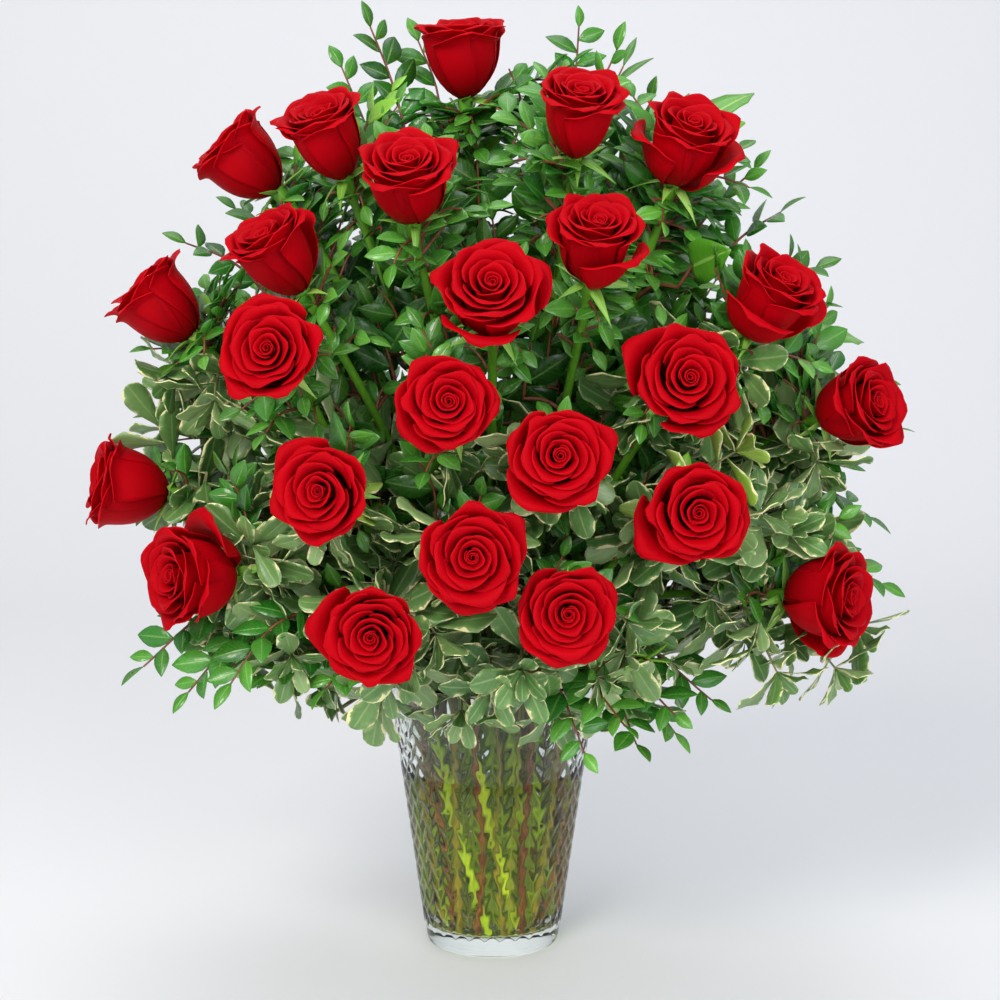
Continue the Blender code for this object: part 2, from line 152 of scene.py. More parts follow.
def keep(piece, slot, *nodes):
    """Finished piece: rides on the bouquet and stands for its CAD nodes; its slot is not used."""
    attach(piece, "root")
    if nodes:
        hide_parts(*nodes)
    return piece


# ------------------------------------------------------- where the CAD stems run

def merged(name):
    """Points and edges of a CAD node, with its doubled points merged."""
    draft = bmesh.new()
    draft.from_mesh(NODES[name].data)
    bmesh.ops.remove_doubles(draft, verts=draft.verts, dist=0.00001)
    return draft


def ring_centres(name):
    """Middle of each ring of a CAD tube from its foot up, as far as the tube runs plain."""
    draft = merged(name)
    ring = set(sorted(draft.verts, key=lambda vert: vert.co.z)[:6])
    seen, centres = set(ring), []
    while len(ring) == 6:
        centres.append(np.mean([vert.co for vert in ring], axis=0))
        ring = {edge.other_vert(vert) for vert in ring for edge in vert.link_edges} - seen
        seen |= ring
    far = max(draft.verts, key=lambda vert: (vert.co - Vector(centres[-1])).length)
    tip = np.array(far.co)
    draft.free()
    return np.array(centres), tip


def smooth_path(points, count):
    """Points spread evenly along a smooth curve through the given ones."""
    points = np.asarray(points, dtype=float)
    lengths = np.concatenate(([0.0], np.cumsum(np.linalg.norm(np.diff(points, axis=0), axis=1))))
    slopes = np.gradient(points, lengths, axis=0)
    spots = np.linspace(0, lengths[-1], count)
    index = np.clip(np.searchsorted(lengths, spots, side="right") - 1, 0, len(points) - 2)
    span = (lengths[index + 1] - lengths[index])[:, None]
    t = (spots[:, None] - lengths[index][:, None]) / span
    return ((2 * t ** 3 - 3 * t ** 2 + 1) * points[index] + (t ** 3 - 2 * t ** 2 + t) * span * slopes[index]
            + (3 * t ** 2 - 2 * t ** 3) * points[index + 1] + (t ** 3 - t ** 2) * span * slopes[index + 1])


def smoothstep(value, low, high):
    """Soft step from 0 at the low end to 1 at the high end."""
    t = np.clip((value - low) / (high - low), 0, 1)
    return t * t * (3 - 2 * t)


def square_to(direction):
    """Two unit vectors square to a direction."""
    direction = direction / np.linalg.norm(direction)
    helper = np.array((0.0, 0.0, 1.0)) if abs(direction[2]) < 0.9 else np.array((1.0, 0.0, 0.0))
    side = np.cross(direction, helper)
    side /= np.linalg.norm(side)
    return side, np.cross(side, direction)


class Bloom:
    """Place, facing and size of one rose, read from its CAD stem and bloom."""

    def __init__(self, number):
        self.name = f"rose_bloom_{number:02d}"
        self.stem = f"rose_stem_{number:02d}"
        self.route, _ = ring_centres(self.stem)
        self.axis = self.route[-1] - self.route[-2]
        self.axis /= np.linalg.norm(self.axis)
        self.hip = self.route[-1]
        shell = np.array([vert.co for vert in NODES[self.name].data.vertices])
        arm = shell - self.hip
        along = arm @ self.axis
        self.radius = np.linalg.norm(arm - along[:, None] * self.axis, axis=1).max()
        self.centre = self.hip + self.axis * BLOOM_DEPTH / 2
        self.side, self.up = square_to(self.axis)

    def place(self, local):
        """Points of the bloom's own frame, its axis up from the hip, moved onto the stem."""
        return (self.hip + local[:, :1] * self.side + local[:, 1:2] * self.up + local[:, 2:] * self.axis)

    def inside(self, points, margin, reach):
        """Whether points lie in the bowl of petals, or within the reach in front of its face."""
        arm = points - self.hip
        along = arm @ self.axis
        out = np.linalg.norm(arm - along[..., None] * self.axis, axis=-1)
        bowl = np.interp(along, (-0.004, 0.004, 0.018, 0.040, BLOOM_DEPTH), (0.005, 0.012, 0.026, 0.9 * self.radius,
                                                                            0.97 * self.radius))
        return (along > -0.004 - margin) & (along < BLOOM_DEPTH + reach) & (out < bowl + margin)


BLOOMS = [Bloom(number) for number in range(1, BLOOM_COUNT + 1)]

# How far each rose has opened, and how many of its outer petals have dropped
OPENNESS = (0.30, 0.30, 0.45, 0.25, 0.40, 0.40, 0.30, 0.40, 0.75, 0.85, 0.55, 0.80,
            0.80, 0.90, 0.95, 0.85, 0.85, 0.70, 0.90, 0.95, 0.95, 0.85, 0.80, 0.90)
DROPPED = (0, 0, 2, 0, 0, 0, 1, 0, 1, 2, 2, 2, 1, 1, 1, 1, 1, 0, 1, 0, 1, 1, 0, 1)


def curl(angle, length, share):
    """How far a petal's lip runs out and up when it bends steadily to its angle over its length."""
    along = np.linspace(0, 1.3, 27)
    bend = angle * along ** 0.85 + 0.75 * smoothstep(along, 0.84, 1.05)
    out = np.concatenate(([0.0], np.cumsum((np.sin(bend[1:]) + np.sin(bend[:-1])) / 2))) * length * 0.05
    rise = np.concatenate(([0.0], np.cumsum((np.cos(bend[1:]) + np.cos(bend[:-1])) / 2))) * length * 0.05
    return np.interp(share, along, out), np.interp(share, along, rise)


def petal(around, body, lip, angle, top, half, skew, wave, tip, tilt, shape, rng):
    """Points of one petal, millimetres: it rises from the hip, stands at its body radius and curls out."""
    across = np.linspace(-1, 1, shape[1])
    rise = (np.linspace(0, 1, shape[0]) ** 0.85)[:, None]
    side = np.abs(across)[None, :]
    length = 1 - (0.15 + 0.05 * tip) * side ** 2.4 + 0.070 * tip * np.exp(-(across[None, :] / 0.22) ** 2)
    share = rise * length
    up = np.clip(share / 0.60, 0, 1)
    roll = np.clip((share - 0.60) / 0.40, 0, 1.3)
    reach, _ = curl(angle, lip, np.array(1.0))
    _, lift = curl(angle, lip, np.array(0.75))
    radius = 3.0 + (body - 3.0) * (1 - (1 - up) ** 2.6)
    height = 1.0 + (top - lift - 1.0) * up ** 1.15
    for column, x in enumerate(across):
        out, high = curl(angle * (0.56 + 0.92 * abs(x) ** 1.4), lip, roll[:, column])
        radius[:, column] += out
        height[:, column] += high
    across = across[None, :]
    radius = radius + skew * across * (0.35 + 0.65 * up) + 0.9 * side ** 3 * up
    phase = rng.uniform(0, 6.28)
    ripple = np.sin(across * rng.uniform(3.0, 4.6) + phase) + 0.4 * np.sin(across * 8.1 + 2 * phase)
    radius = radius + wave * ripple * roll ** 1.5
    height = height + 0.6 * wave * np.cos(across * 4.0 + phase) * roll
    width = min(half / body, 2.7)
    spread = 0.45 + 0.55 * np.clip(share / 0.55, 0, 1) ** 0.7
    theta = around + across * width * spread
    lean = math.radians(tilt)
    out, high = radius - 3.0, height - 1.0
    radius = 3.0 + out * math.cos(lean) + high * math.sin(lean)
    height = 1.0 + high * math.cos(lean) - out * math.sin(lean)
    points = np.stack((radius * np.cos(theta), radius * np.sin(theta), height), axis=2)
    uvs = np.stack((np.broadcast_to((across + 1) / 2, share.shape), np.broadcast_to(rise, share.shape)), axis=2)
    return points.reshape(-1, 3), uvs.reshape(-1, 2)


def make_rose(bloom, index, openness, dropped, look):
    """Rose of heart, face and guard petals laid in a golden spiral, each a thin closed sheet."""
    rng = np.random.default_rng(700 + index)
    width, depth = bloom.radius * 1000, BLOOM_DEPTH * 1000
    turn = rng.uniform(0, 6.28)
    plans = []
    for step in range(6):
        plans.append((1.2 + 0.62 * step, 2.2 + 0.4 * step, 0.45, depth * (0.905 + 0.008 * step), 5.0 + step,
                      0.8, 0.20, 0.3, 0.0, (9, 13)))
    for step in range(12):
        t = step / 11
        top = depth * (0.93 + 0.045 * math.sin(2.8 * t) - 0.02 * t)
        plans.append((4.8 + (0.60 * width - 4.8) * t, 6.6 + 7.0 * t, 0.95 + 0.34 * t + 0.25 * openness * t, top,
                      9 + 14 * t, 0.9 + 1.3 * t, 0.40 + 0.75 * t, 0.9 + 0.8 * t, 3.0 * t * openness, (12, 15)))
    guards = 8
    for step in range(guards):
        t = step / (guards - 1)
        tilt = openness * (3 + 8 * t) + rng.uniform(-1, 2.0)
        top = depth * (0.965 - 0.05 * t - 0.09 * t * openness)
        if step >= guards - dropped:
            tilt += rng.uniform(5, 12)
            top *= 0.96
        plans.append((0.67 * width + 0.9 * t, 10.5 + 2.5 * t, 1.15 + 0.42 * t + 0.15 * openness, top,
                      18.5 + 2.5 * t, 1.6, 1.1 + 0.9 * t, 2.3, tilt, (13, 17)))
    points, faces, uvs, shades = [], [], [], []
    count = 0
    for step, (body, lip, angle, top, half, skew, wave, tip, tilt, shape) in enumerate(plans):
        around = turn + step * GOLDEN + rng.uniform(-0.12, 0.12)
        sheet, chart = petal(around, body, lip, angle, top + rng.uniform(-1.1, 0.9), half, skew, wave, tip,
                             tilt, shape, rng)
        stray = rng.uniform(0, 6.28)
        slip = min(1.3, 0.25 + 0.08 * step) * rng.uniform(0.3, 1.0) * (step < 20)
        sheet[:, :2] += np.outer(np.clip(sheet[:, 2] / top, 0, 1), (slip * math.cos(stray), slip * math.sin(stray)))
        points.append(sheet)
        uvs.append(chart)
        # shade per petal: random, and lower for the inner petals, which are darkened as painted shade
        shades.append(np.full(len(sheet), 0.25 + 0.5 * min(1, step / 24) + rng.uniform(-0.2, 0.2)))
        faces += grid_faces(shape[0], shape[1], count)
        count += len(sheet)
    points = np.concatenate(points)
    reach = np.percentile(np.linalg.norm(points[:, :2], axis=1), 99.0)
    points[:, :2] *= 0.96 * width / reach
    points *= 0.001
    rose = mesh_object(f"rose_{index:02d}", bloom.place(points), faces, np.concatenate(uvs), np.concatenate(shades))
    rose.data.materials.append(look)
    thick = rose.modifiers.new("petal_thickness", "SOLIDIFY")
    thick.thickness = 0.00045
    thick.offset = 0.0
    return keep(rose, "rose_petals", bloom.name)


def velvet_petal():
    """Velvety petal skin: painted shade deepening the red towards the claw, clear red on the blade and a fine paler
    lip.
    """
    made, tree, shader = surface("rose_petal_velvet")
    chart = add(tree, "ShaderNodeUVMap", uv_map="UVMap").outputs["UV"]
    parts = add(tree, "ShaderNodeSeparateXYZ", {0: chart})
    shade = add(tree, "ShaderNodeAttribute", attribute_name="shade").outputs["Fac"]
    place = add(tree, "ShaderNodeTexCoord").outputs["Object"]
    # painted shade: the red deepens towards the claw of the petal, where its neighbours cover it
    blade = add(tree, "ShaderNodeValToRGB", {0: parts.outputs["Y"]},
                stops=((0.0, "#7E0008"), (0.30, "#A4000C"), (0.62, "#B40010"), (0.93, "#B40010"),
                       (0.985, "#BC0214"), (1.0, "#C80A1A")))
    # cloudy drift of tone over the blade, a few millimetres across
    drift = add(tree, "ShaderNodeTexNoise", {"Vector": place, "Scale": 90.0, "Detail": 3.0}).outputs["Fac"]
    blade = add(tree, "ShaderNodeMix", {0: add(tree, "ShaderNodeMath", {0: drift, 1: 0.30}, operation="MULTIPLY"),
                                        6: blade, 7: srgb("#A80006")}, data_type="RGBA")
    # petals differ from one another at random, and the inner petals are darker as painted shade
    tone = add(tree, "ShaderNodeMapRange", {"Value": shade, "To Min": 0.80, "To Max": 1.06}).outputs["Result"]
    blade = add(tree, "ShaderNodeHueSaturation", {"Color": blade, "Value": tone}).outputs["Color"]
    plug(tree, shader.inputs["Base Color"], blade)
    # fine veins that run from claw to lip
    stretch = add(tree, "ShaderNodeMapping", {"Vector": chart, "Scale": (46.0, 2.2, 1.0)}).outputs["Vector"]
    veins = add(tree, "ShaderNodeTexNoise", {"Vector": stretch, "Scale": 1.0, "Detail": 2.0}).outputs["Fac"]
    nap = add(tree, "ShaderNodeTexNoise", {"Vector": place, "Scale": 1400.0, "Detail": 1.0}).outputs["Fac"]
    relief = add(tree, "ShaderNodeMath", {0: veins, 1: add(tree, "ShaderNodeMath", {0: nap, 1: 0.35},
                                                           operation="MULTIPLY")}, operation="ADD")
    bump = add(tree, "ShaderNodeBump", {"Height": relief, "Strength": 0.35, "Distance": 0.0003})
    plug(tree, shader.inputs["Normal"], bump.outputs["Normal"])
    shader.inputs["Roughness"].default_value = 0.58
    shader.inputs["Specular IOR Level"].default_value = 0.045
    shader.inputs["Sheen Weight"].default_value = 0.008
    shader.inputs["Sheen Roughness"].default_value = 0.4
    shader.inputs["Sheen Tint"].default_value = srgb("#FF2038")
    shader.inputs["Subsurface Weight"].default_value = 0.30
    shader.inputs["Subsurface Radius"].default_value = (1.0, 0.12, 0.10)
    shader.inputs["Subsurface Scale"].default_value = 0.004
    return made


# ---------------------------------------------------------------- greenery

VASE_LOW, VASE_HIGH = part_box("vase")
RIM_HEIGHT = VASE_HIGH.z
RIM_RADIUS = VASE_HIGH.x
FOOT_RADIUS = 0.044

# Dome of the bouquet: its middle and its half sizes
DOME_MIDDLE, DOME_SIZE = np.array((0.003, -0.018, 0.330)), np.array((0.232, 0.160, 0.262))

# Sprays that stand out of the dome, by plant: way round it from the front in degrees (0 is up, + is right),
# lean to the viewer in degrees, and how far the tip stands past the dome in millimetres
SPRAYS = {
    "huckleberry": ((-24, -10, 30), (-18, -5, 42), (-12, -15, 35), (2, -10, 5), (12, -10, 38), (18, 0, 25),
                    (26, -10, 10), (45, -5, 15), (52, 0, 10), (62, -5, 15), (66, 10, 5), (80, -5, 35),
                    (86, 0, 38), (98, 0, 25), (106, 5, 40), (-58, 0, 15), (-50, -10, 5), (-74, 0, 12),
                    (-64, 0, 10), (-84, -5, 5), (-100, 5, 35), (-92, -5, 5), (-116, 25, 50), (-122, 30, 40),
                    (-124, 40, 35), (92, -10, 15), (110, 30, 20)),
    "pittosporum": ((112, 10, 40), (118, 15, 40), (-80, 0, -10), (122, 30, 25), (84, 10, 0), (100, 5, 0)),
    "salal": ((34, -15, 28), (72, -20, 25), (48, 25, -10), (30, 25, -5)),
    "lance": ((20, -15, 35), (30, -15, 15), (-88, -10, 5)),
}
# Sprays that hang over the rim, by plant: the ways round the axis in degrees (0 is the front, + is right),
# then the reach and the height of their tips, taken in turn
DRAPES = (
    ("pittosporum", range(-70, 71, 10), ((0.125, 0.174), (0.150, 0.204), (0.100, 0.238))),
    ("huckleberry", (24, 32, 40, 48, 56, 66), ((0.150, 0.156), (0.165, 0.176))),
    ("huckleberry", (-42, -52, -62), ((0.165, 0.198), (0.190, 0.206))),
)
DRAPE_FOOT = (0.060, 0.218)


# Each plant: leaf length, how far a leaf stands off its twig (degrees), spacing, lift off the spray
PLANTS = {
    "huckleberry": (0.0245, 54, 0.0085, 0.18),
    "pittosporum": (0.0390, 62, 0.0085, 0.0),
    "salal": (0.0520, 50, 0.0240, 0.2),
    "lance": (0.0360, 34, 0.0150, 0.1),
}


# The long wood of a branch from its foot to its top, and the short wood that joins a twig to it
BRANCH_RADII, BRANCH_POINTS, ROOT_POINTS = (0.0018, 0.0012), 40, 6
# A twig whose foot is this near a stem is on it already
ROOTED_WITHIN = 0.001


def unit(vector):
    """Vector of length one."""
    return vector / np.linalg.norm(vector, axis=-1, keepdims=True)


def facing_front(way, lean):
    """Direction seen from the front: its way round from straight up, and its lean to the viewer."""
    return np.array((math.sin(way) * math.cos(lean), -math.sin(lean), math.cos(way) * math.cos(lean)))


class Greenery:
    """Leaves and twigs gathered before they are made into pieces."""

    def __init__(self):
        self.leaves = {plant: [] for plant in PLANTS}
        self.twigs = {plant: [] for plant in PLANTS}
        wood = {name: ring_centres(name)[0] for name in NODES if "branch" in name}
        for name, route in wood.items():
            path = smooth_path(route, BRANCH_POINTS)
            self.twigs[name.split("_")[0]].append((path, np.linspace(*BRANCH_RADII, BRANCH_POINTS)))
        self.stems = np.concatenate([smooth_path(route[1:], 24) for route in wood.values()]
                                    + [smooth_path(bloom.route[1:-2], 24) for bloom in BLOOMS])

    def rooted(self, path):
        """Way to a twig's foot from a near point of a stem or branch below it, clear of the roses where it can be."""
        foot = path[0]
        rise = np.maximum(self.stems[:, 2] - foot[2], 0)
        below = self.stems[np.argsort(np.linalg.norm(self.stems - foot, axis=1) + 3 * rise)]
        if np.linalg.norm(below[0] - foot) < ROOTED_WITHIN:
            return path[:1]
        for near in below[:24:3]:
            bow = (near + foot) / 2 + np.array((0, 0, 0.12 * np.linalg.norm(foot - near)))
            way = smooth_path([near, bow, foot], ROOT_POINTS)
            if not self.blocked(way):
                return way
        return smooth_path([below[0], (below[0] + foot) / 2, foot], ROOT_POINTS)

    def leaf(self, plant, base, aim, face, size, shade, young):
        """One leaf from its base along its aim, its upper side towards its face."""
        aim = unit(aim)
        face = unit(face - aim * (face @ aim))
        self.leaves[plant].append(np.concatenate((base, aim, face, (size, shade, young))))

    def shoot(self, plant, start, tip, rng, young=0.0, lush=1.0, big=1.0, painted_shade_dim=1.0):
        """Twig from its start to its tip, clothed in the way of its plant."""
        length, stand, spacing, lift = PLANTS[plant]
        length, spacing = length * big, spacing * big
        start, tip = np.array(start, dtype=float), np.array(tip, dtype=float)
        run = np.linalg.norm(tip - start)
        arch = np.array((0, 0, 0.10 * run)) + rng.normal(0, 0.03 * run, 3)
        path = smooth_path([start, (start + tip) / 2 + arch, tip - unit(tip - start) * length * 0.5], 12)
        if self.blocked(path):
            return
        thick = np.linspace(0.0012, 0.0006, len(path)) * (1.15 if plant == "pittosporum" else 1.0)
        root = self.rooted(path)[:-1]
        self.twigs[plant].append((np.concatenate((root, path)),
                                  np.concatenate((np.linspace(1.25, 1.0, len(root)) * thick[0], thick))))
        steps = np.linalg.norm(np.diff(path, axis=0), axis=1)
        far = np.concatenate(([0.0], np.cumsum(steps)))
        outward = unit(tip - np.array((0.0, 0.0, 0.30)))
        view = unit(outward * 0.8 + np.array((0, -0.25, 0.45)))
        # tone of a shoot is random, scaled down on the inner shoots as painted shade
        tone = rng.uniform(0.25, 0.75) * painted_shade_dim
        if plant == "pittosporum":
            self.whorl(path, far, length, rng, tone, young, lush)
            return
        spots = np.arange(far[-1], far[-1] * 0.12, -spacing)
        for index, spot in enumerate(spots):
            base = np.array([np.interp(spot, far, path[:, k]) for k in range(3)])
            segment = min(int(np.searchsorted(far, spot)) - 1, len(path) - 2)
            along = unit(path[segment + 1] - path[segment])
            normal = unit(view - along * (view @ along))
            side = np.cross(along, normal) * (1 if index % 2 else -1)
            angle = math.radians(stand + rng.normal(0, 9)) if index else math.radians(6)
            aim = along * math.cos(angle) + side * math.sin(angle) + normal * (lift + rng.normal(0, 0.14))
            face = normal + side * rng.normal(0.05, 0.25) + along * rng.normal(0, 0.18)
            size = min(1.0, (0.68 if length < 0.04 else 0.95) + 0.12 * index) * rng.uniform(0.82, 1.14)
            fresh = max(young, smoothstep(np.array(1.0 - index / 4), 0, 1) * 0.14)
            self.leaf(plant, base, aim, face, size * length, np.clip(tone + rng.normal(0, 0.16), 0, 1), fresh)

    @staticmethod
    def blocked(path):
        """Whether a twig runs through a rose or across the front of its face."""
        for bloom in BLOOMS:
            arm = path - bloom.centre
            across = (arm[:, 1] < 0) & (np.hypot(arm[:, 0], arm[:, 2]) < 0.9 * bloom.radius) & (arm[:, 1] > -0.2)
            if across.any() or bloom.inside(path, 0.002, 0.03).any():
                return True
        return False

    def whorl(self, path, far, length, rng, tone, young, lush):
        """Rosette at the end of the twig, thinning out below it."""
        along = unit(path[-1] - path[-2])
        side, up = square_to(along)
        turn = rng.uniform(0, 6.28)
        count = int(round(rng.integers(11, 15) * lush))
        for index in range(count):
            t = index / (count - 1)
            back = 0.0 if index < 7 else (index - 6) * 0.0065
            spot = max(far[-1] - back, 0)
            base = np.array([np.interp(spot, far, path[:, k]) for k in range(3)])
            around = turn + index * GOLDEN
            out = side * math.cos(around) + up * math.sin(around)
            angle = math.radians(18 + 68 * min(1.0, t * 1.35) + rng.normal(0, 7))
            aim = along * math.cos(angle) + out * math.sin(angle) + np.array((0, 0, -0.10 * t))
            face = along * math.sin(angle) - out * math.cos(angle) + rng.normal(0, 0.12, 3)
            size = length * (0.52 + 0.55 * min(1.0, t * 1.6)) * rng.uniform(0.85, 1.1) * (1 - 0.35 * young)
            self.leaf("pittosporum", base, aim, face, size, np.clip(tone + rng.normal(0, 0.15), 0, 1),
                      max(young, 0.75 * (1 - min(1.0, t * 2.6)) * young * 2))

    def clear(self, plant):
        """Leaves that keep off the roses, the vase and the edge of the bouquet's box."""
        rows = np.array(self.leaves[plant])
        base, aim, size = rows[:, 0:3], rows[:, 3:6], rows[:, 9:10]
        side = np.cross(aim, rows[:, 6:9]) * size * 0.2
        spots = np.stack((base + aim * size * 0.35, base + aim * size * 0.6 + side, base + aim * size * 0.6 - side,
                          base + aim * size), axis=1)
        good = np.ones(len(rows), dtype=bool)
        for bloom in BLOOMS:
            good &= ~bloom.inside(spots, 0.0015, 0.045).any(axis=1)
            arm = spots - bloom.centre
            before = (-arm[..., 1] > 0) & (-arm[..., 1] < 0.22)
            good &= ~(before & (np.hypot(arm[..., 0], arm[..., 2]) < 0.86 * bloom.radius)).any(axis=1)
        out = np.hypot(spots[..., 0], spots[..., 1])
        wall = FOOT_RADIUS + (RIM_RADIUS - FOOT_RADIUS) * spots[..., 2] / RIM_HEIGHT
        good &= ~((spots[..., 2] < RIM_HEIGHT + 0.002) & (out < wall + 0.003)).any(axis=1)
        low, high = np.array(CAD_BOX[0]) - 0.008, np.array(CAD_BOX[1]) + 0.008
        good &= ((spots > low) & (spots < high)).all(axis=(1, 2))
        return rows[good]


def grow_greenery():
    """Shoots over the dome and inside it, and the sprays that stand out of it."""
    rng = np.random.default_rng(41)
    green = Greenery()
    for plant, sprays in SPRAYS.items():
        for way, lean, stand in sprays:
            aim = facing_front(math.radians(way), math.radians(lean))
            tip = DOME_MIDDLE + DOME_SIZE * aim + aim * stand * 0.001
            green.shoot(plant, DOME_MIDDLE + DOME_SIZE * aim * 0.72, tip, rng)
    for plant, ways, tips in DRAPES:
        for index, way in enumerate(ways):
            reach, height = tips[index % len(tips)]
            out = np.array((math.sin(math.radians(way)), -math.cos(math.radians(way)), 0.0))
            foot = out * DRAPE_FOOT[0] + np.array((0, 0, DRAPE_FOOT[1]))
            green.shoot(plant, foot, out * reach + np.array((0, 0, height)), rng)
    stems = green.stems
    # shells of shoots from the skin of the dome to its heart, then a thicker cap; the cap and skin carry most leaves
    for shell, count, reach in ((0.96, 330, 1.5), (0.84, 210, 1.5), (0.66, 130, 1.5), (0.45, 70, 1.5),
                                (0.90, 90, 0.55), (0.74, 60, 0.60)):
        for index in range(count):
            z = 1 - reach * (index + 0.5) / count
            around = index * GOLDEN + shell * 5
            flat = math.sqrt(1 - z * z)
            aim = np.array((flat * math.cos(around), flat * math.sin(around), z))
            tip = DOME_MIDDLE + DOME_SIZE * aim * shell * rng.uniform(0.93, 1.05) + rng.normal(0, 0.006, 3)
            if tip[2] < 0.208:
                tip[2] = 0.208 + rng.uniform(-0.010, 0.02)
            if math.hypot(tip[0], tip[1]) < 0.062 and tip[2] < 0.222:
                continue
            lower = stems[(stems[:, 2] < tip[2] + 0.02)]
            near = lower[np.argmin(np.linalg.norm((lower - tip) * (1, 1, 0.6), axis=1))]
            pull = min(1.0, 0.085 / (np.linalg.norm(tip - near) + 1e-6))
            start = tip + (near - tip) * max(pull, 0.75)
            high = np.array((tip[2] - RIM_HEIGHT) / 0.435)
            wild = 0.24 + 0.76 * smoothstep(high, 0.24, 0.62)
            wild = max(wild, 0.55 * float(tip[1] > 0.03), 0.6 * float(abs(tip[0]) > 0.185))
            roll = rng.uniform()
            plant = "huckleberry" if roll < wild else "pittosporum"
            if roll > 0.985:
                plant = "lance"
            young = rng.uniform(0.5, 1.0) if rng.uniform() < 0.10 and shell > 0.85 else 0.0
            green.shoot(plant, start, tip, rng, young, 1.0 if shell > 0.9 else 0.85)
    # shoots fill the heart of the bunch, so no daylight shows through it; their leaves are darkened as painted shade
    for index in range(230):
        around, out = index * GOLDEN, math.sqrt((index + 0.5) / 230)
        tip = np.array((0.175 * out * math.cos(around), 0.105 * out * math.sin(around) - 0.01,
                        rng.uniform(0.235, 0.335 + 0.215 * math.sqrt(1 - out * out * 0.85))))
        start = tip - np.array((tip[0] * 0.25, tip[1] * 0.25, rng.uniform(0.045, 0.075)))
        plant = "pittosporum" if tip[2] < 0.34 and rng.uniform() < 0.5 else "huckleberry"
        green.shoot(plant, start, tip, rng, 0.0, 0.7, 1.25 if plant == "huckleberry" else 1.0, 0.35)
    return green


# Half width of each blade along its length, as shares of the widest
OUTLINES = {
    "huckleberry": ((0, 0.08), (0.13, 0.46), (0.28, 0.84), (0.45, 1.0), (0.62, 0.93), (0.78, 0.66), (0.91, 0.32),
                    (1, 0.03)),
    "pittosporum": ((0, 0.08), (0.18, 0.26), (0.40, 0.62), (0.60, 0.93), (0.76, 1.0), (0.90, 0.80), (0.97, 0.48),
                    (1, 0.20)),
    "salal": ((0, 0.22), (0.10, 0.68), (0.25, 0.96), (0.40, 1.0), (0.58, 0.90), (0.75, 0.66), (0.90, 0.30), (1, 0.03)),
    "lance": ((0, 0.08), (0.15, 0.45), (0.35, 0.90), (0.50, 1.0), (0.68, 0.82), (0.85, 0.45), (1, 0.03)),
    "sepal": ((0, 0.75), (0.20, 1.0), (0.45, 0.80), (0.70, 0.42), (0.88, 0.16), (1, 0.03)),
}


def blade(name, outline, ratio, columns, fold, droop, ripple):
    """Leaf blade of length 1 along +Y, its upper side up, as a thin closed solid."""
    t, half = (np.array(side)[:, None] for side in zip(*outline))
    u = np.linspace(-1, 1, columns)[None, :]
    half = half * ratio / 2
    x = u * half
    z = (fold * np.abs(u) * half * 2 - droop * t ** 2
         + ripple * np.sin(t * 13 + np.sign(u) * 1.4) * np.abs(u) * half)
    points = np.stack((x, np.broadcast_to(t, x.shape), z), axis=2).reshape(-1, 3)
    uvs = np.stack((np.broadcast_to((u + 1) / 2, x.shape), np.broadcast_to(t, x.shape)), axis=2).reshape(-1, 2)
    made = mesh_object(name, points, grid_faces(len(t), columns), uvs)
    thick = made.modifiers.new("thickness", "SOLIDIFY")
    thick.thickness = 0.014
    thick.offset = 0.0
    return made


def leaf_tree():
    """Geometry tree: sets one of the blades on each point, aimed and sized by the point."""
    tree = bpy.data.node_groups.new("leaves_on_twigs", "GeometryNodeTree")
    face = tree.interface
    face.new_socket("Geometry", in_out="OUTPUT", socket_type="NodeSocketGeometry")
    face.new_socket("Geometry", in_out="INPUT", socket_type="NodeSocketGeometry")
    face.new_socket("Blades", in_out="INPUT", socket_type="NodeSocketCollection")
    face.new_socket("Leaf size", in_out="INPUT", socket_type="NodeSocketFloat")
    face.new_socket("Twist", in_out="INPUT", socket_type="NodeSocketFloat")
    face.new_socket("Seed", in_out="INPUT", socket_type="NodeSocketInt")
    face.new_socket("Material", in_out="INPUT", socket_type="NodeSocketMaterial")
    given = add(tree, "NodeGroupInput").outputs
    shapes = add(tree, "GeometryNodeCollectionInfo", {"Collection": given["Blades"], "Separate Children": True,
                                                     "Reset Children": True})
    def read(name, kind):
        return add(tree, "GeometryNodeInputNamedAttribute", {"Name": name}, data_type=kind).outputs["Attribute"]
    turn = add(tree, "FunctionNodeAxesToRotation",
               {"Primary Axis": read("aim", "FLOAT_VECTOR"), "Secondary Axis": read("face", "FLOAT_VECTOR")},
               primary_axis="Y", secondary_axis="Z")
    pick = add(tree, "FunctionNodeRandomValue", {"Seed": given["Seed"]}, data_type="INT")
    pick.inputs[4].default_value, pick.inputs[5].default_value = 0, 2
    back = add(tree, "ShaderNodeMath", {0: given["Twist"], 1: -1.0}, operation="MULTIPLY").outputs[0]
    twist = add(tree, "FunctionNodeRandomValue", {"Seed": given["Seed"]}, data_type="FLOAT")
    plug(tree, twist.inputs[2], back)
    plug(tree, twist.inputs[3], given["Twist"])
    size = add(tree, "ShaderNodeMath", {0: read("size", "FLOAT"), 1: given["Leaf size"]}, operation="MULTIPLY")
    leaves = add(tree, "GeometryNodeInstanceOnPoints",
                 {"Points": given["Geometry"], "Instance": shapes.outputs[0], "Pick Instance": True,
                  "Instance Index": pick.outputs[2], "Rotation": turn.outputs[0], "Scale": size.outputs[0]})
    spin = add(tree, "ShaderNodeCombineXYZ", {"Y": twist.outputs[1]})
    rolled = add(tree, "GeometryNodeRotateInstances", {"Instances": leaves.outputs[0], "Rotation": spin.outputs[0]})
    real = add(tree, "GeometryNodeRealizeInstances", {"Geometry": rolled.outputs[0]})
    dressed = add(tree, "GeometryNodeSetMaterial", {"Geometry": real.outputs[0], "Material": given["Material"]})
    add(tree, "NodeGroupOutput", {"Geometry": dressed.outputs[0]})
    return tree


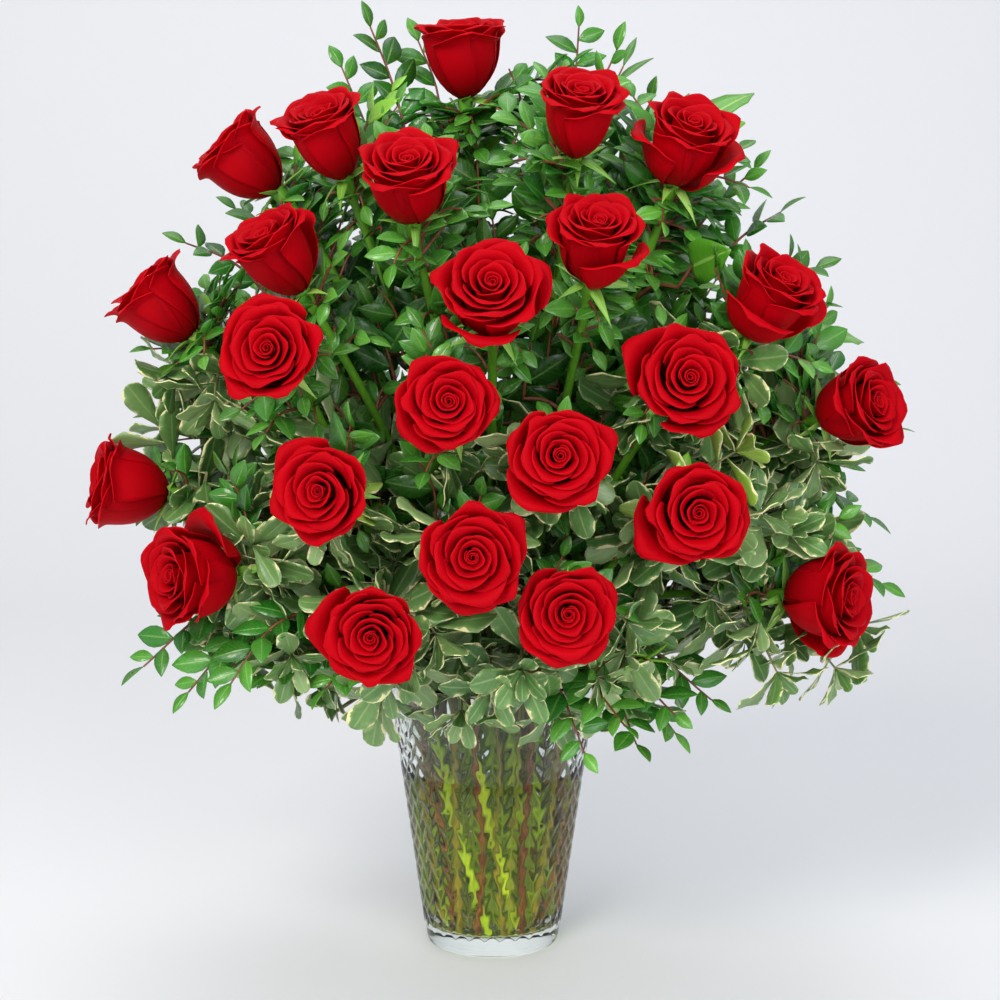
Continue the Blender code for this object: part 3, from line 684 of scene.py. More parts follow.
def twig_tree():
    """Geometry tree: a round tapering twig along every run of edges."""
    tree = bpy.data.node_groups.new("wood_along_runs", "GeometryNodeTree")
    face = tree.interface
    face.new_socket("Geometry", in_out="OUTPUT", socket_type="NodeSocketGeometry")
    face.new_socket("Geometry", in_out="INPUT", socket_type="NodeSocketGeometry")
    face.new_socket("Sides", in_out="INPUT", socket_type="NodeSocketInt")
    face.new_socket("Thickness", in_out="INPUT", socket_type="NodeSocketFloat")
    face.new_socket("Material", in_out="INPUT", socket_type="NodeSocketMaterial")
    given = add(tree, "NodeGroupInput").outputs
    thick = add(tree, "GeometryNodeInputNamedAttribute", {"Name": "thick"}, data_type="FLOAT").outputs["Attribute"]
    radius = add(tree, "ShaderNodeMath", {0: thick, 1: given["Thickness"]}, operation="MULTIPLY").outputs[0]
    runs = add(tree, "GeometryNodeMeshToCurve", {"Mesh": given["Geometry"]}).outputs[0]
    ring = add(tree, "GeometryNodeCurvePrimitiveCircle", {"Resolution": given["Sides"], "Radius": 1.0}).outputs[0]
    wood = add(tree, "GeometryNodeCurveToMesh", {"Curve": runs, "Profile Curve": ring, "Fill Caps": True})
    if "Scale" in wood.inputs:
        plug(tree, wood.inputs["Scale"], radius)
    else:
        sized = add(tree, "GeometryNodeSetCurveRadius", {"Curve": runs, "Radius": radius}).outputs[0]
        plug(tree, wood.inputs["Curve"], sized)
    smooth = add(tree, "GeometryNodeSetShadeSmooth", {"Geometry": wood.outputs[0]}).outputs[0]
    real = add(tree, "GeometryNodeRealizeInstances", {"Geometry": smooth})
    dressed = add(tree, "GeometryNodeSetMaterial", {"Geometry": real.outputs[0], "Material": given["Material"]})
    add(tree, "NodeGroupOutput", {"Geometry": dressed.outputs[0]})
    return tree


def grown(name, source, tree, material, **sizes):
    """The plain mesh that a geometry tree makes of a source object, which goes."""
    grow = source.modifiers.new("grow", "NODES")
    grow.node_group = tree
    for socket in tree.interface.items_tree:
        key = socket.name.lower().replace(" ", "_")
        if socket.in_out == "INPUT" and key in sizes:
            grow[socket.identifier] = sizes[key]
        if socket.in_out == "INPUT" and key == "material":
            grow[socket.identifier] = material
    source.update_tag()
    bpy.context.view_layer.update()
    seen = source.evaluated_get(bpy.context.evaluated_depsgraph_get())
    mesh = bpy.data.meshes.new_from_object(seen)
    mesh.name = name
    made = bpy.data.objects.new(name, mesh)
    SCENE.collection.objects.link(made)
    bpy.data.objects.remove(source)
    return made


def run_object(name, runs):
    """Edges along each run of points, with the run's thickness at each and a shade of its own."""
    points, edges, thick, shades = [], [], [], []
    rng = np.random.default_rng(len(runs))
    for path, sizes in runs:
        shades += [rng.uniform()] * len(path)
        edges += [(len(points) + k, len(points) + k + 1) for k in range(len(path) - 1)]
        points += [tuple(p) for p in path]
        thick += list(sizes)
    mesh = bpy.data.meshes.new(name)
    mesh.from_pydata(points, edges, [])
    for key, values in (("thick", thick), ("shade", shades)):
        layer = mesh.attributes.new(key, "FLOAT", "POINT")
        layer.data.foreach_set("value", np.asarray(values, dtype=np.float32))
    made = bpy.data.objects.new(name, mesh)
    SCENE.collection.objects.link(made)
    return made


def point_object(name, rows):
    """A point for each leaf, with its aim, face, size, shade and youth."""
    mesh = bpy.data.meshes.new(name)
    mesh.from_pydata([tuple(p) for p in rows[:, :3]], [], [])
    for key, span in (("aim", rows[:, 3:6]), ("face", rows[:, 6:9])):
        layer = mesh.attributes.new(key, "FLOAT_VECTOR", "POINT")
        layer.data.foreach_set("vector", np.ascontiguousarray(span, dtype=np.float32).ravel())
    for key, span in (("size", rows[:, 9]), ("shade", rows[:, 10]), ("young", rows[:, 11])):
        layer = mesh.attributes.new(key, "FLOAT", "POINT")
        layer.data.foreach_set("value", np.ascontiguousarray(span, dtype=np.float32))
    made = bpy.data.objects.new(name, mesh)
    SCENE.collection.objects.link(made)
    return made


def blade_set(plant, ratio, columns, fold, droop, ripple):
    """Three blades of one plant that differ in droop and ripple."""
    group = bpy.data.collections.new(f"{plant}_blades")
    SCENE.collection.children.link(group)
    for index, factor in enumerate((0.3, 1.0, 1.8)):
        made = blade(f"{plant}_blade_{index}", OUTLINES[plant], ratio * (1.06 - 0.05 * index), columns,
                     fold * (1.2 - 0.3 * index), droop * factor, ripple * (0.6 + 0.4 * index))
        SCENE.collection.objects.unlink(made)
        group.objects.link(made)
    return group


def discard(group):
    """Drops a set of blades once its leaves are made."""
    for made in list(group.objects):
        bpy.data.objects.remove(made)
    bpy.data.collections.remove(group)


def leaf_surface(name, deep, main, light, vein, fresh, rib_count, rib=0.6, margin=None, gloss=0.32):
    """Waxy leaf skin from its own chart: midrib, side veins, drift of tone and, where given, a pale margin."""
    made, tree, shader = surface(name)
    chart = add(tree, "ShaderNodeUVMap", uv_map="UVMap").outputs["UV"]
    parts = add(tree, "ShaderNodeSeparateXYZ", {0: chart})
    shade = add(tree, "ShaderNodeAttribute", attribute_name="shade").outputs["Fac"]
    young = add(tree, "ShaderNodeAttribute", attribute_name="young").outputs["Fac"]
    place = add(tree, "ShaderNodeTexCoord").outputs["Object"]
    side = add(tree, "ShaderNodeMath", {0: add(tree, "ShaderNodeMath", {0: add(tree, "ShaderNodeMath",
                                                                               {0: parts.outputs["X"], 1: 0.5},
                                                                               operation="SUBTRACT"), 1: 2.0},
                                               operation="MULTIPLY"), 1: 0.0}, operation="ABSOLUTE")
    # blade colour runs from deep to light with the leaf's shade value: random per leaf, and lower on the inner shoots
    # as painted shade
    blade_colour = add(tree, "ShaderNodeValToRGB", {0: shade}, stops=((0.0, deep), (0.5, main), (1.0, light)))
    drift = add(tree, "ShaderNodeTexNoise", {"Vector": place, "Scale": 160.0, "Detail": 3.0}).outputs["Fac"]
    blade_colour = add(tree, "ShaderNodeMix", {0: add(tree, "ShaderNodeMath", {0: drift, 1: 0.40},
                                                      operation="MULTIPLY"), 6: blade_colour, 7: srgb(deep)},
                       data_type="RGBA")
    blade_colour = add(tree, "ShaderNodeMix", {0: young, 6: blade_colour, 7: srgb(fresh)}, data_type="RGBA")
    # side veins sweep forward from the midrib
    sweep = add(tree, "ShaderNodeMath", {0: add(tree, "ShaderNodeMath", {0: parts.outputs["Y"], 1: rib_count},
                                                operation="MULTIPLY"), 1: add(tree, "ShaderNodeMath", {0: side,
                                                                                                       1: rib_count * 0.22}, operation="MULTIPLY")}, operation="SUBTRACT")
    saw = add(tree, "ShaderNodeMath", {0: add(tree, "ShaderNodeMath", {0: add(tree, "ShaderNodeMath", {0: sweep,
                                                                                                       1: 0.0},
                                                                              operation="FRACT"), 1: 0.5},
                                              operation="SUBTRACT"), 1: 0.0}, operation="ABSOLUTE")
    ribs = add(tree, "ShaderNodeMapRange", {"Value": saw, "From Min": 0.44, "From Max": 0.5,
                                            "To Min": 0.0, "To Max": 1.0}).outputs["Result"]
    midrib = add(tree, "ShaderNodeMapRange", {"Value": side, "From Min": 0.05, "From Max": 0.11,
                                              "To Min": 1.0, "To Max": 0.0}).outputs["Result"]
    blade_colour = add(tree, "ShaderNodeMix", {0: add(tree, "ShaderNodeMath", {0: ribs, 1: 0.16},
                                                      operation="MULTIPLY"), 6: blade_colour, 7: srgb(vein)},
                       data_type="RGBA")
    blade_colour = add(tree, "ShaderNodeMix", {0: add(tree, "ShaderNodeMath", {0: midrib, 1: rib},
                                                      operation="MULTIPLY"), 6: blade_colour, 7: srgb(vein)},
                       data_type="RGBA")
    if margin:
        # cream margin in broken patches, wider on some leaves, with a paler haze just inside it
        wander = add(tree, "ShaderNodeTexNoise", {"Vector": place, "Scale": 150.0, "Detail": 3.0}).outputs["Fac"]
        patchy = add(tree, "ShaderNodeMath", {0: add(tree, "ShaderNodeMath", {0: wander, 1: 0.52},
                                                     operation="SUBTRACT"), 1: 1.5}, operation="MULTIPLY")
        wobble = add(tree, "ShaderNodeMath", {0: add(tree, "ShaderNodeMath", {0: side, 1: patchy}, operation="ADD"),
                                              1: add(tree, "ShaderNodeMath", {0: shade, 1: 0.06},
                                                     operation="MULTIPLY")}, operation="ADD")
        edge = add(tree, "ShaderNodeMapRange", {"Value": wobble, "From Min": 0.92, "From Max": 0.98,
                                                "To Min": 0.0, "To Max": 1.0}).outputs["Result"]
        haze = add(tree, "ShaderNodeMapRange", {"Value": wobble, "From Min": 0.60, "From Max": 0.92,
                                                "To Min": 0.0, "To Max": 0.40}).outputs["Result"]
        blade_colour = add(tree, "ShaderNodeMix", {0: haze, 6: blade_colour, 7: srgb(light)}, data_type="RGBA")
        blade_colour = add(tree, "ShaderNodeMix", {0: edge, 6: blade_colour, 7: srgb(margin)}, data_type="RGBA")
    plug(tree, shader.inputs["Base Color"], blade_colour)
    # veins sink into the blade and the skin between them puckers
    pucker = add(tree, "ShaderNodeTexNoise", {"Vector": place, "Scale": 420.0, "Detail": 2.0}).outputs["Fac"]
    height = add(tree, "ShaderNodeMath", {0: add(tree, "ShaderNodeMath", {0: pucker, 1: 0.4}, operation="MULTIPLY"),
                                          1: add(tree, "ShaderNodeMath", {0: add(tree, "ShaderNodeMath", {0: ribs,
                                                                                                          1: 0.35},
                                                                                 operation="MULTIPLY"), 1: midrib},
                                                 operation="ADD")}, operation="SUBTRACT")
    bump = add(tree, "ShaderNodeBump", {"Height": height, "Strength": 0.5, "Distance": 0.0003})
    plug(tree, shader.inputs["Normal"], bump.outputs["Normal"])
    rough = add(tree, "ShaderNodeMapRange", {"Value": drift, "To Min": gloss - 0.06, "To Max": gloss + 0.14})
    plug(tree, shader.inputs["Roughness"], rough.outputs["Result"])
    shader.inputs["Specular IOR Level"].default_value = 0.65
    shader.inputs["Subsurface Weight"].default_value = 0.10
    shader.inputs["Subsurface Radius"].default_value = (0.35, 1.0, 0.2)
    shader.inputs["Subsurface Scale"].default_value = 0.0015
    return made


def bark_surface(name, dark, light, scale=240.0):
    """Twig bark: long streaks and small raised pores."""
    made, tree, shader = surface(name)
    place = add(tree, "ShaderNodeTexCoord").outputs["Object"]
    streaks = add(tree, "ShaderNodeTexNoise", {"Vector": place, "Scale": scale, "Detail": 4.0}).outputs["Fac"]
    patches = add(tree, "ShaderNodeTexNoise", {"Vector": place, "Scale": scale / 6, "Detail": 1.0}).outputs["Fac"]
    tone = add(tree, "ShaderNodeMath", {0: add(tree, "ShaderNodeMath", {0: streaks, 1: 0.5}, operation="MULTIPLY"),
                                        1: add(tree, "ShaderNodeMath", {0: patches, 1: 0.5}, operation="MULTIPLY")},
               operation="ADD")
    plug(tree, shader.inputs["Base Color"], add(tree, "ShaderNodeValToRGB", {0: tone}, stops=((0.35, dark), (0.65, light))))
    pores = add(tree, "ShaderNodeTexVoronoi", {"Vector": place, "Scale": scale * 2.5}).outputs["Distance"]
    bump = add(tree, "ShaderNodeBump", {"Height": pores, "Strength": 0.4, "Distance": 0.0003})
    plug(tree, shader.inputs["Normal"], bump.outputs["Normal"])
    shader.inputs["Roughness"].default_value = 0.55
    return made


def make_greenery(leaf_nodes, wood_nodes):
    """All leaves and twigs as pieces, a plant and a side of the bouquet at a time."""
    green = grow_greenery()
    looks = {
        "huckleberry": leaf_surface("huckleberry_leaf_wax", "#154C12", "#2F8524", "#6CB844", "#A6D470", "#8CC834", 9,
                                    rib=0.28, gloss=0.24),
        "pittosporum": leaf_surface("pittosporum_leaf_wax", "#315E28", "#66924A", "#ACC684", "#B0C888", "#A8CC3A", 8,
                                    rib=0.35, margin="#EFEBAE", gloss=0.28),
        "salal": leaf_surface("salal_leaf_leather", "#2E6E1C", "#4C9A1E", "#74B92E", "#A6D468", "#8CCB30", 7),
        "lance": leaf_surface("lance_leaf_wax", "#16401F", "#2B6A2C", "#5A8F44", "#7FB05C", "#7DAE3A", 10),
    }
    barks = {
        "huckleberry": bark_surface("huckleberry_bark", "#5A2A1C", "#96583A"),
        "pittosporum": bark_surface("pittosporum_bark", "#5B5A38", "#8E8A5A"),
    }
    blades = {
        "huckleberry": blade_set("huckleberry", 0.52, 3, 0.16, 0.10, 0.0),
        "pittosporum": blade_set("pittosporum", 0.42, 5, 0.08, 0.16, 0.20),
        "salal": blade_set("salal", 0.60, 5, 0.10, 0.14, 0.08),
        "lance": blade_set("lance", 0.24, 3, 0.10, 0.18, 0.0),
    }
    nodes = {plant: [name for name in NODES if name.startswith(plant + "_branch")] for plant in PLANTS}
    for plant, look in looks.items():
        rows = green.clear(plant)
        x, front = rows[:, 0], rows[:, 1] <= 0.02
        sides, names = [x > -9], ("all",)
        if len(rows) > 700:
            sides = [~front & (x < 0), ~front & (x >= 0), front & (x < -0.06), front & (abs(x) <= 0.06),
                     front & (x > 0.06)]
            names = ("back_left", "back_right", "left", "middle", "right")
        for side, mask in zip(names, sides):
            leaves = grown(f"{plant}_leaves_{side}", point_object("leaf_points", rows[mask]), leaf_nodes, look,
                           blades=blades[plant], leaf_size=1.0, twist=0.35, seed=7)
            slot_name = f"{plant}_leaves" if plant != "lance" else "huckleberry_leaves"
            keep(leaves, slot_name, *nodes[plant])
            nodes[plant] = []
    for kind, plants in (("huckleberry", ("huckleberry", "salal", "lance")), ("pittosporum", ("pittosporum",))):
        runs = [run for plant in plants for run in green.twigs[plant]]
        wood = grown(f"{kind}_twigs", run_object("twig_runs", runs), wood_nodes, barks[kind], sides=6, thickness=1.0)
        keep(wood, f"{kind}_leaves")
    for group in blades.values():
        discard(group)


# ---------------------------------------------------------------- rose stems, hips, sepals and thorns

STEM_RADIUS = 0.0027
SEPAL_LENGTH = 0.024
WATER_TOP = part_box("water")[1].z
GLASS_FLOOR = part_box("water")[0].z


def stem_surface(name, wet, low, high, marks):
    """Smooth stem skin: long streaks and lenticels, duller and yellower where it stands in water."""
    made, tree, shader = surface(name)
    place = add(tree, "ShaderNodeTexCoord").outputs["Object"]
    shade = add(tree, "ShaderNodeAttribute", attribute_name="shade").outputs["Fac"]
    long = add(tree, "ShaderNodeMapping", {"Vector": place, "Scale": (420.0, 420.0, 60.0)}).outputs["Vector"]
    streaks = add(tree, "ShaderNodeTexNoise", {"Vector": long, "Scale": 1.0, "Detail": 3.0}).outputs["Fac"]
    height = add(tree, "ShaderNodeSeparateXYZ", {0: place}).outputs["Z"]
    under = add(tree, "ShaderNodeMapRange", {"Value": height, "From Min": 0.115, "From Max": 0.20,
                                             "To Min": 1.0, "To Max": 0.0}).outputs["Result"]
    skin = add(tree, "ShaderNodeMix", {0: streaks, 6: srgb(low), 7: srgb(high)}, data_type="RGBA")
    soaked = add(tree, "ShaderNodeValToRGB", {0: add(tree, "ShaderNodeMath", {0: add(tree, "ShaderNodeMath",
                                                                                     {0: streaks, 1: 0.3},
                                                                                     operation="MULTIPLY"), 1: add(tree, "ShaderNodeMath", {0: shade, 1: 0.7}, operation="MULTIPLY")}, operation="ADD")}, stops=wet)
    skin = add(tree, "ShaderNodeMix", {0: under, 6: skin, 7: soaked}, data_type="RGBA")
    flecks = add(tree, "ShaderNodeTexVoronoi", {"Vector": long, "Scale": 0.9}).outputs["Distance"]
    spots = add(tree, "ShaderNodeMapRange", {"Value": flecks, "From Min": 0.10, "From Max": 0.20,
                                             "To Min": 0.45, "To Max": 0.0}).outputs["Result"]
    skin = add(tree, "ShaderNodeMix", {0: spots, 6: skin, 7: srgb(marks)}, data_type="RGBA")
    plug(tree, shader.inputs["Base Color"], skin)
    bump = add(tree, "ShaderNodeBump", {"Height": streaks, "Strength": 0.4, "Distance": 0.0003})
    plug(tree, shader.inputs["Normal"], bump.outputs["Normal"])
    gloss = add(tree, "ShaderNodeMapRange", {"Value": streaks, "To Min": 0.34, "To Max": 0.50})
    plug(tree, shader.inputs["Roughness"], gloss.outputs["Result"])
    shader.inputs["Subsurface Weight"].default_value = 0.08
    shader.inputs["Subsurface Radius"].default_value = (0.4, 1.0, 0.2)
    shader.inputs["Subsurface Scale"].default_value = 0.002
    return made


def sunk_twigs():
    """Thin bare twigs of the greenery, standing between the rose stems inside the vase."""
    rng = np.random.default_rng(17)
    taken = []
    for name in [bloom.stem for bloom in BLOOMS] + [name for name in NODES if "branch" in name]:
        route, _ = ring_centres(name)
        foot, neck = route[0], route[np.argmin(np.abs(route[:, 2] - RIM_HEIGHT))]
        taken.append((foot, neck, 0.0027 if "rose" in name else 0.0018))
    feet, necks = np.array([row[0] for row in taken]), np.array([row[1] for row in taken])
    wide = np.array([row[2] for row in taken])
    share = np.linspace(0, 1, 14)[:, None, None]
    turn = math.radians(48)
    made = []
    for attempt in range(12000):
        if len(made) == 54:
            break
        thick = rng.uniform(0.0013, 0.0024)
        out, around = math.sqrt(rng.uniform(0.25, 1)), rng.uniform(0, 2 * math.pi)
        swing = turn * rng.uniform(-0.3, 1.3)
        neck = np.array((math.cos(around) * out * 0.059, math.sin(around) * out * 0.059, RIM_HEIGHT))
        low = around - swing
        foot = np.array((math.cos(low) * out * 0.0375, math.sin(low) * out * 0.0375, GLASS_FLOOR + 0.001))
        line = foot * (1 - share[:, 0]) + neck * share[:, 0]
        others = feet * (1 - share) + necks * share
        gap = np.linalg.norm(others - line[:, None], axis=2).min(axis=0)
        if (gap > wide + thick + 0.0002).all():
            feet, necks = np.vstack((feet, foot)), np.vstack((necks, neck))
            wide = np.append(wide, thick)
            top = neck + (neck - foot) * 0.10
            bow = rng.normal(0, 0.0022, 3) * (1, 1, 0)
            path = smooth_path([foot, foot * 0.6 + neck * 0.4 + bow, foot * 0.3 + neck * 0.7 - bow, neck, top], 20)
            made.append((path, np.linspace(thick, thick * 0.8, len(path))))
    return made


def thorn_shape():
    """Thorn of length 1 along +Y, wide at its foot and hooked down to a point."""
    sides, rings = 6, ((0.0, 0.42, 0.0), (0.25, 0.22, -0.02), (0.65, 0.10, -0.10))
    points = [(math.cos(2 * math.pi * k / sides) * wide * 0.45, along, math.sin(2 * math.pi * k / sides) * wide + drop)
              for along, wide, drop in rings for k in range(sides)]
    faces = grid_faces(len(rings), sides, closed=True)
    last = len(points)
    points += [(0, 1, -0.26), (0, -0.05, 0)]
    faces += [(last - sides + k, last - sides + (k + 1) % sides, last) for k in range(sides)]
    faces += [((k + 1) % sides, k, last + 1) for k in range(sides)]
    made = mesh_object("thorn", points, [tuple(reversed(face)) for face in faces], [(0.5, p[1]) for p in points])
    group = bpy.data.collections.new("thorns")
    SCENE.collection.children.link(group)
    SCENE.collection.objects.unlink(made)
    group.objects.link(made)
    return group


def make_stems(leaf_nodes, wood_nodes):
    """Rose stems with swollen hips, their sepals and thorns, and the twigs that stand in the water."""
    rng = np.random.default_rng(23)
    skin = stem_surface("rose_stem_skin", ((0.20, "#7E9010"), (0.40, "#B4CC14"), (0.55, "#93B012"), (0.80, "#D4E028")),
                        "#4C8E1E", "#74B52C", "#A87A3C")
    sepal_skin = leaf_surface("sepal_skin", "#5E9A2C", "#7FB63C", "#A6D05A", "#B8DC78", "#B8DC70", 5, gloss=0.45)
    bare = stem_surface("soaked_twig_bark", ((0.15, "#5A6812"), (0.32, "#8A9A16"), (0.42, "#7C4A10"), (0.55, "#A06C1A"),
                                             (0.66, "#6E2410"), (0.74, "#5E6C14"), (0.90, "#B08A1E")), "#6A4A22", "#8A6A34", "#3A2412")
    runs, sepals, thorns = [], [], []
    for bloom in BLOOMS:
        path = smooth_path(bloom.route, 56)
        path = np.vstack((path, bloom.hip + bloom.axis * 0.0025))
        left = np.concatenate((np.cumsum(np.linalg.norm(np.diff(path, axis=0), axis=1)[::-1])[::-1], (0.0,)))
        thick = np.interp(left, (0, 0.004, 0.008, 0.013, 0.018), (0.0046, 0.0058, 0.0052, 0.0034, STEM_RADIUS))
        runs.append((path, thick))
        first = rng.uniform(0, 6.28)
        for step in range(5):
            around = first + step * 2 * math.pi / 5 + rng.normal(0, 0.12)
            out = bloom.side * math.cos(around) + bloom.up * math.sin(around)
            lift = rng.uniform(-0.55, 0.85)
            base = bloom.hip + out * 0.0046
            aim = out + bloom.axis * lift
            face = bloom.axis - out * lift
            sepals.append(np.concatenate((base, unit(aim), unit(face), (SEPAL_LENGTH * rng.uniform(0.8, 1.15),
                                                                      rng.uniform(0.1, 0.9), 0.0))))
        for spot in np.arange(0.22, 0.93, 0.055):
            index = int(spot * (len(path) - 4))
            along = unit(path[index + 1] - path[index])
            side, up = square_to(along)
            around = rng.uniform(0, 6.28)
            out = side * math.cos(around) + up * math.sin(around)
            base = path[index] + out * STEM_RADIUS * 0.9
            thorns.append(np.concatenate((base, out, along, (rng.uniform(0.0035, 0.0055), 0.5, 0.0))))
    stems = grown("rose_stems", run_object("stem_runs", runs), wood_nodes, skin, sides=10, thickness=1.0)
    keep(stems, "rose_stem", *[bloom.stem for bloom in BLOOMS])
    shapes = blade_set("sepal", 0.26, 3, 0.16, 0.22, 0.0)
    made = grown("rose_sepals", point_object("sepal_points", np.array(sepals)), leaf_nodes, sepal_skin,
                 blades=shapes, leaf_size=1.0, twist=0.5, seed=11)
    keep(made, "rose_stem")
    discard(shapes)
    shapes = thorn_shape()
    made = grown("rose_thorns", point_object("thorn_points", np.array(thorns)), leaf_nodes, skin,
                 blades=shapes, leaf_size=1.0, twist=0.0, seed=12)
    keep(made, "rose_stem")
    discard(shapes)
    made = grown("soaked_twigs", run_object("soaked_runs", sunk_twigs()), wood_nodes, bare, sides=8, thickness=1.0)
    keep(made, "huckleberry_leaves")


# ---------------------------------------------------------------- pressed-glass vase and its water

GLASS_WALL = 0.004
WALL_COLUMNS = 280


def turned_shell(name, profile, columns, walls=None):
    """Closed turned shell from its profile of (radius, height), axis to axis, with its outer wall marked."""
    angles = np.arange(columns) * 2 * math.pi / columns
    rings = [(r * np.cos(angles), r * np.sin(angles), np.full(columns, z)) for r, z in profile[1:-1]]
    points = np.concatenate([np.stack(ring, axis=1) for ring in rings])
    count = len(rings) * columns
    faces = grid_faces(len(rings), columns, closed=True)
    points = np.vstack((points, (0, 0, profile[0][1]), (0, 0, profile[-1][1])))
    faces += [((k + 1) % columns, k, count) for k in range(columns)]
    start = count - columns
    faces += [(start + k, start + (k + 1) % columns, count + 1) for k in range(columns)]
    made = mesh_object(name, points, faces)
    marks = np.repeat(np.asarray(walls[1:-1] if walls is not None else np.zeros(len(rings))), columns)
    layer = made.data.attributes.new("wall", "FLOAT", "POINT")
    layer.data.foreach_set("value", np.append(marks, (0, 0)).astype(np.float32))
    return made


def relief_tree():
    """Geometry tree: presses rows of raised chevrons into the marked wall of the vase."""
    tree = bpy.data.node_groups.new("chevron_relief", "GeometryNodeTree")
    face = tree.interface
    face.new_socket("Geometry", in_out="OUTPUT", socket_type="NodeSocketGeometry")
    face.new_socket("Geometry", in_out="INPUT", socket_type="NodeSocketGeometry")
    for size in ("Ridge height", "Columns", "Row pitch", "Chevron rise", "Relief foot", "Relief top"):
        face.new_socket(size, in_out="INPUT", socket_type="NodeSocketFloat")
    face.new_socket("Material", in_out="INPUT", socket_type="NodeSocketMaterial")
    given = add(tree, "NodeGroupInput").outputs
    spot = add(tree, "ShaderNodeSeparateXYZ", {0: add(tree, "GeometryNodeInputPosition").outputs[0]}).outputs
    turn = add(tree, "ShaderNodeMath", {0: add(tree, "ShaderNodeMath", {0: spot["Y"], 1: spot["X"]},
                                               operation="ARCTAN2"), 1: 2 * math.pi}, operation="DIVIDE")
    cell = add(tree, "ShaderNodeMath", {0: add(tree, "ShaderNodeMath", {0: turn, 1: given["Columns"]},
                                               operation="MULTIPLY"), 1: 0.0}, operation="FRACT")
    arm = add(tree, "ShaderNodeMath", {0: add(tree, "ShaderNodeMath", {0: add(tree, "ShaderNodeMath", {0: cell,
                                                                                                       1: 0.5},
                                                                              operation="SUBTRACT"), 1: 0.0},
                                              operation="ABSOLUTE"), 1: 2.0}, operation="MULTIPLY")
    slant = add(tree, "ShaderNodeMath", {0: spot["Z"], 1: add(tree, "ShaderNodeMath", {0: arm,
                                                                                       1: given["Chevron rise"]},
                                                              operation="MULTIPLY")}, operation="SUBTRACT")
    row = add(tree, "ShaderNodeMath", {0: add(tree, "ShaderNodeMath", {0: slant, 1: given["Row pitch"]},
                                              operation="DIVIDE"), 1: 0.0}, operation="FRACT")
    wave = add(tree, "ShaderNodeMath", {0: add(tree, "ShaderNodeMath", {0: add(tree, "ShaderNodeMath", {0: row,
                                                                                                        1: 0.5},
                                                                               operation="SUBTRACT"), 1: 0.0},
                                               operation="ABSOLUTE"), 1: 2.0}, operation="MULTIPLY")
    ridge = add(tree, "ShaderNodeMapRange", {"Value": wave, "From Min": 0.08, "From Max": 0.92, "To Min": -0.5,
                                             "To Max": 0.5}).outputs["Result"]
    above = add(tree, "ShaderNodeMath", {0: add(tree, "ShaderNodeMath", {0: slant, 1: given["Relief foot"]},
                                                operation="SUBTRACT"), 1: 0.0015}, operation="DIVIDE", use_clamp=True)
    below = add(tree, "ShaderNodeMath", {0: add(tree, "ShaderNodeMath", {0: given["Relief top"], 1: spot["Z"]},
                                                operation="SUBTRACT"), 1: 0.030}, operation="DIVIDE", use_clamp=True)
    wall = add(tree, "GeometryNodeInputNamedAttribute", {"Name": "wall"}, data_type="FLOAT").outputs["Attribute"]
    amount = add(tree, "ShaderNodeMath", {0: add(tree, "ShaderNodeMath", {0: above, 1: below}, operation="MULTIPLY"),
                                          1: add(tree, "ShaderNodeMath", {0: ridge, 1: wall}, operation="MULTIPLY")},
                 operation="MULTIPLY")
    height = add(tree, "ShaderNodeMath", {0: amount, 1: given["Ridge height"]}, operation="MULTIPLY")
    shift = add(tree, "ShaderNodeVectorMath", {0: add(tree, "GeometryNodeInputNormal").outputs[0], "Scale": height},
                operation="SCALE").outputs[0]
    moved = add(tree, "GeometryNodeSetPosition", {"Geometry": given["Geometry"], "Offset": shift}).outputs[0]
    smooth = add(tree, "GeometryNodeSetShadeSmooth", {"Geometry": moved}).outputs[0]
    real = add(tree, "GeometryNodeRealizeInstances", {"Geometry": smooth}).outputs[0]
    dressed = add(tree, "GeometryNodeSetMaterial", {"Geometry": real, "Material": given["Material"]}).outputs[0]
    add(tree, "NodeGroupOutput", {"Geometry": dressed})
    return tree


def clear_to_lamps(made, tree, shader):
    """Lets the lamps shine through a clear body onto the stems inside it."""
    ends = next(node for node in tree.nodes if node.type == "OUTPUT_MATERIAL")
    path = add(tree, "ShaderNodeLightPath").outputs["Is Shadow Ray"]
    open_way = add(tree, "ShaderNodeBsdfTransparent", {"Color": srgb("#F4F8F0")}).outputs[0]
    both = add(tree, "ShaderNodeMixShader", {0: path, 1: shader.outputs[0], 2: open_way})
    plug(tree, ends.inputs["Surface"], both.outputs[0])
    return made


def pressed_glass():
    """Clear pressed glass: faint flow waves from the mould and a slightly soft polish."""
    made, tree, shader = surface("pressed_clear_glass")
    place = add(tree, "ShaderNodeTexCoord").outputs["Object"]
    flow = add(tree, "ShaderNodeTexNoise", {"Vector": place, "Scale": 70.0, "Detail": 2.0}).outputs["Fac"]
    bump = add(tree, "ShaderNodeBump", {"Height": flow, "Strength": 0.25, "Distance": 0.0006})
    plug(tree, shader.inputs["Normal"], bump.outputs["Normal"])
    tint = add(tree, "ShaderNodeMix", {0: flow, 6: srgb("#E6EFE8"), 7: srgb("#F6FAF7")}, data_type="RGBA")
    plug(tree, shader.inputs["Base Color"], tint)
    shader.inputs["Roughness"].default_value = 0.0
    shader.inputs["IOR"].default_value = 1.5
    shader.inputs["Specular Tint"].default_value = (0.55, 0.55, 0.55, 1.0)
    shader.inputs["Transmission Weight"].default_value = 1.0
    return clear_to_lamps(made, tree, shader)


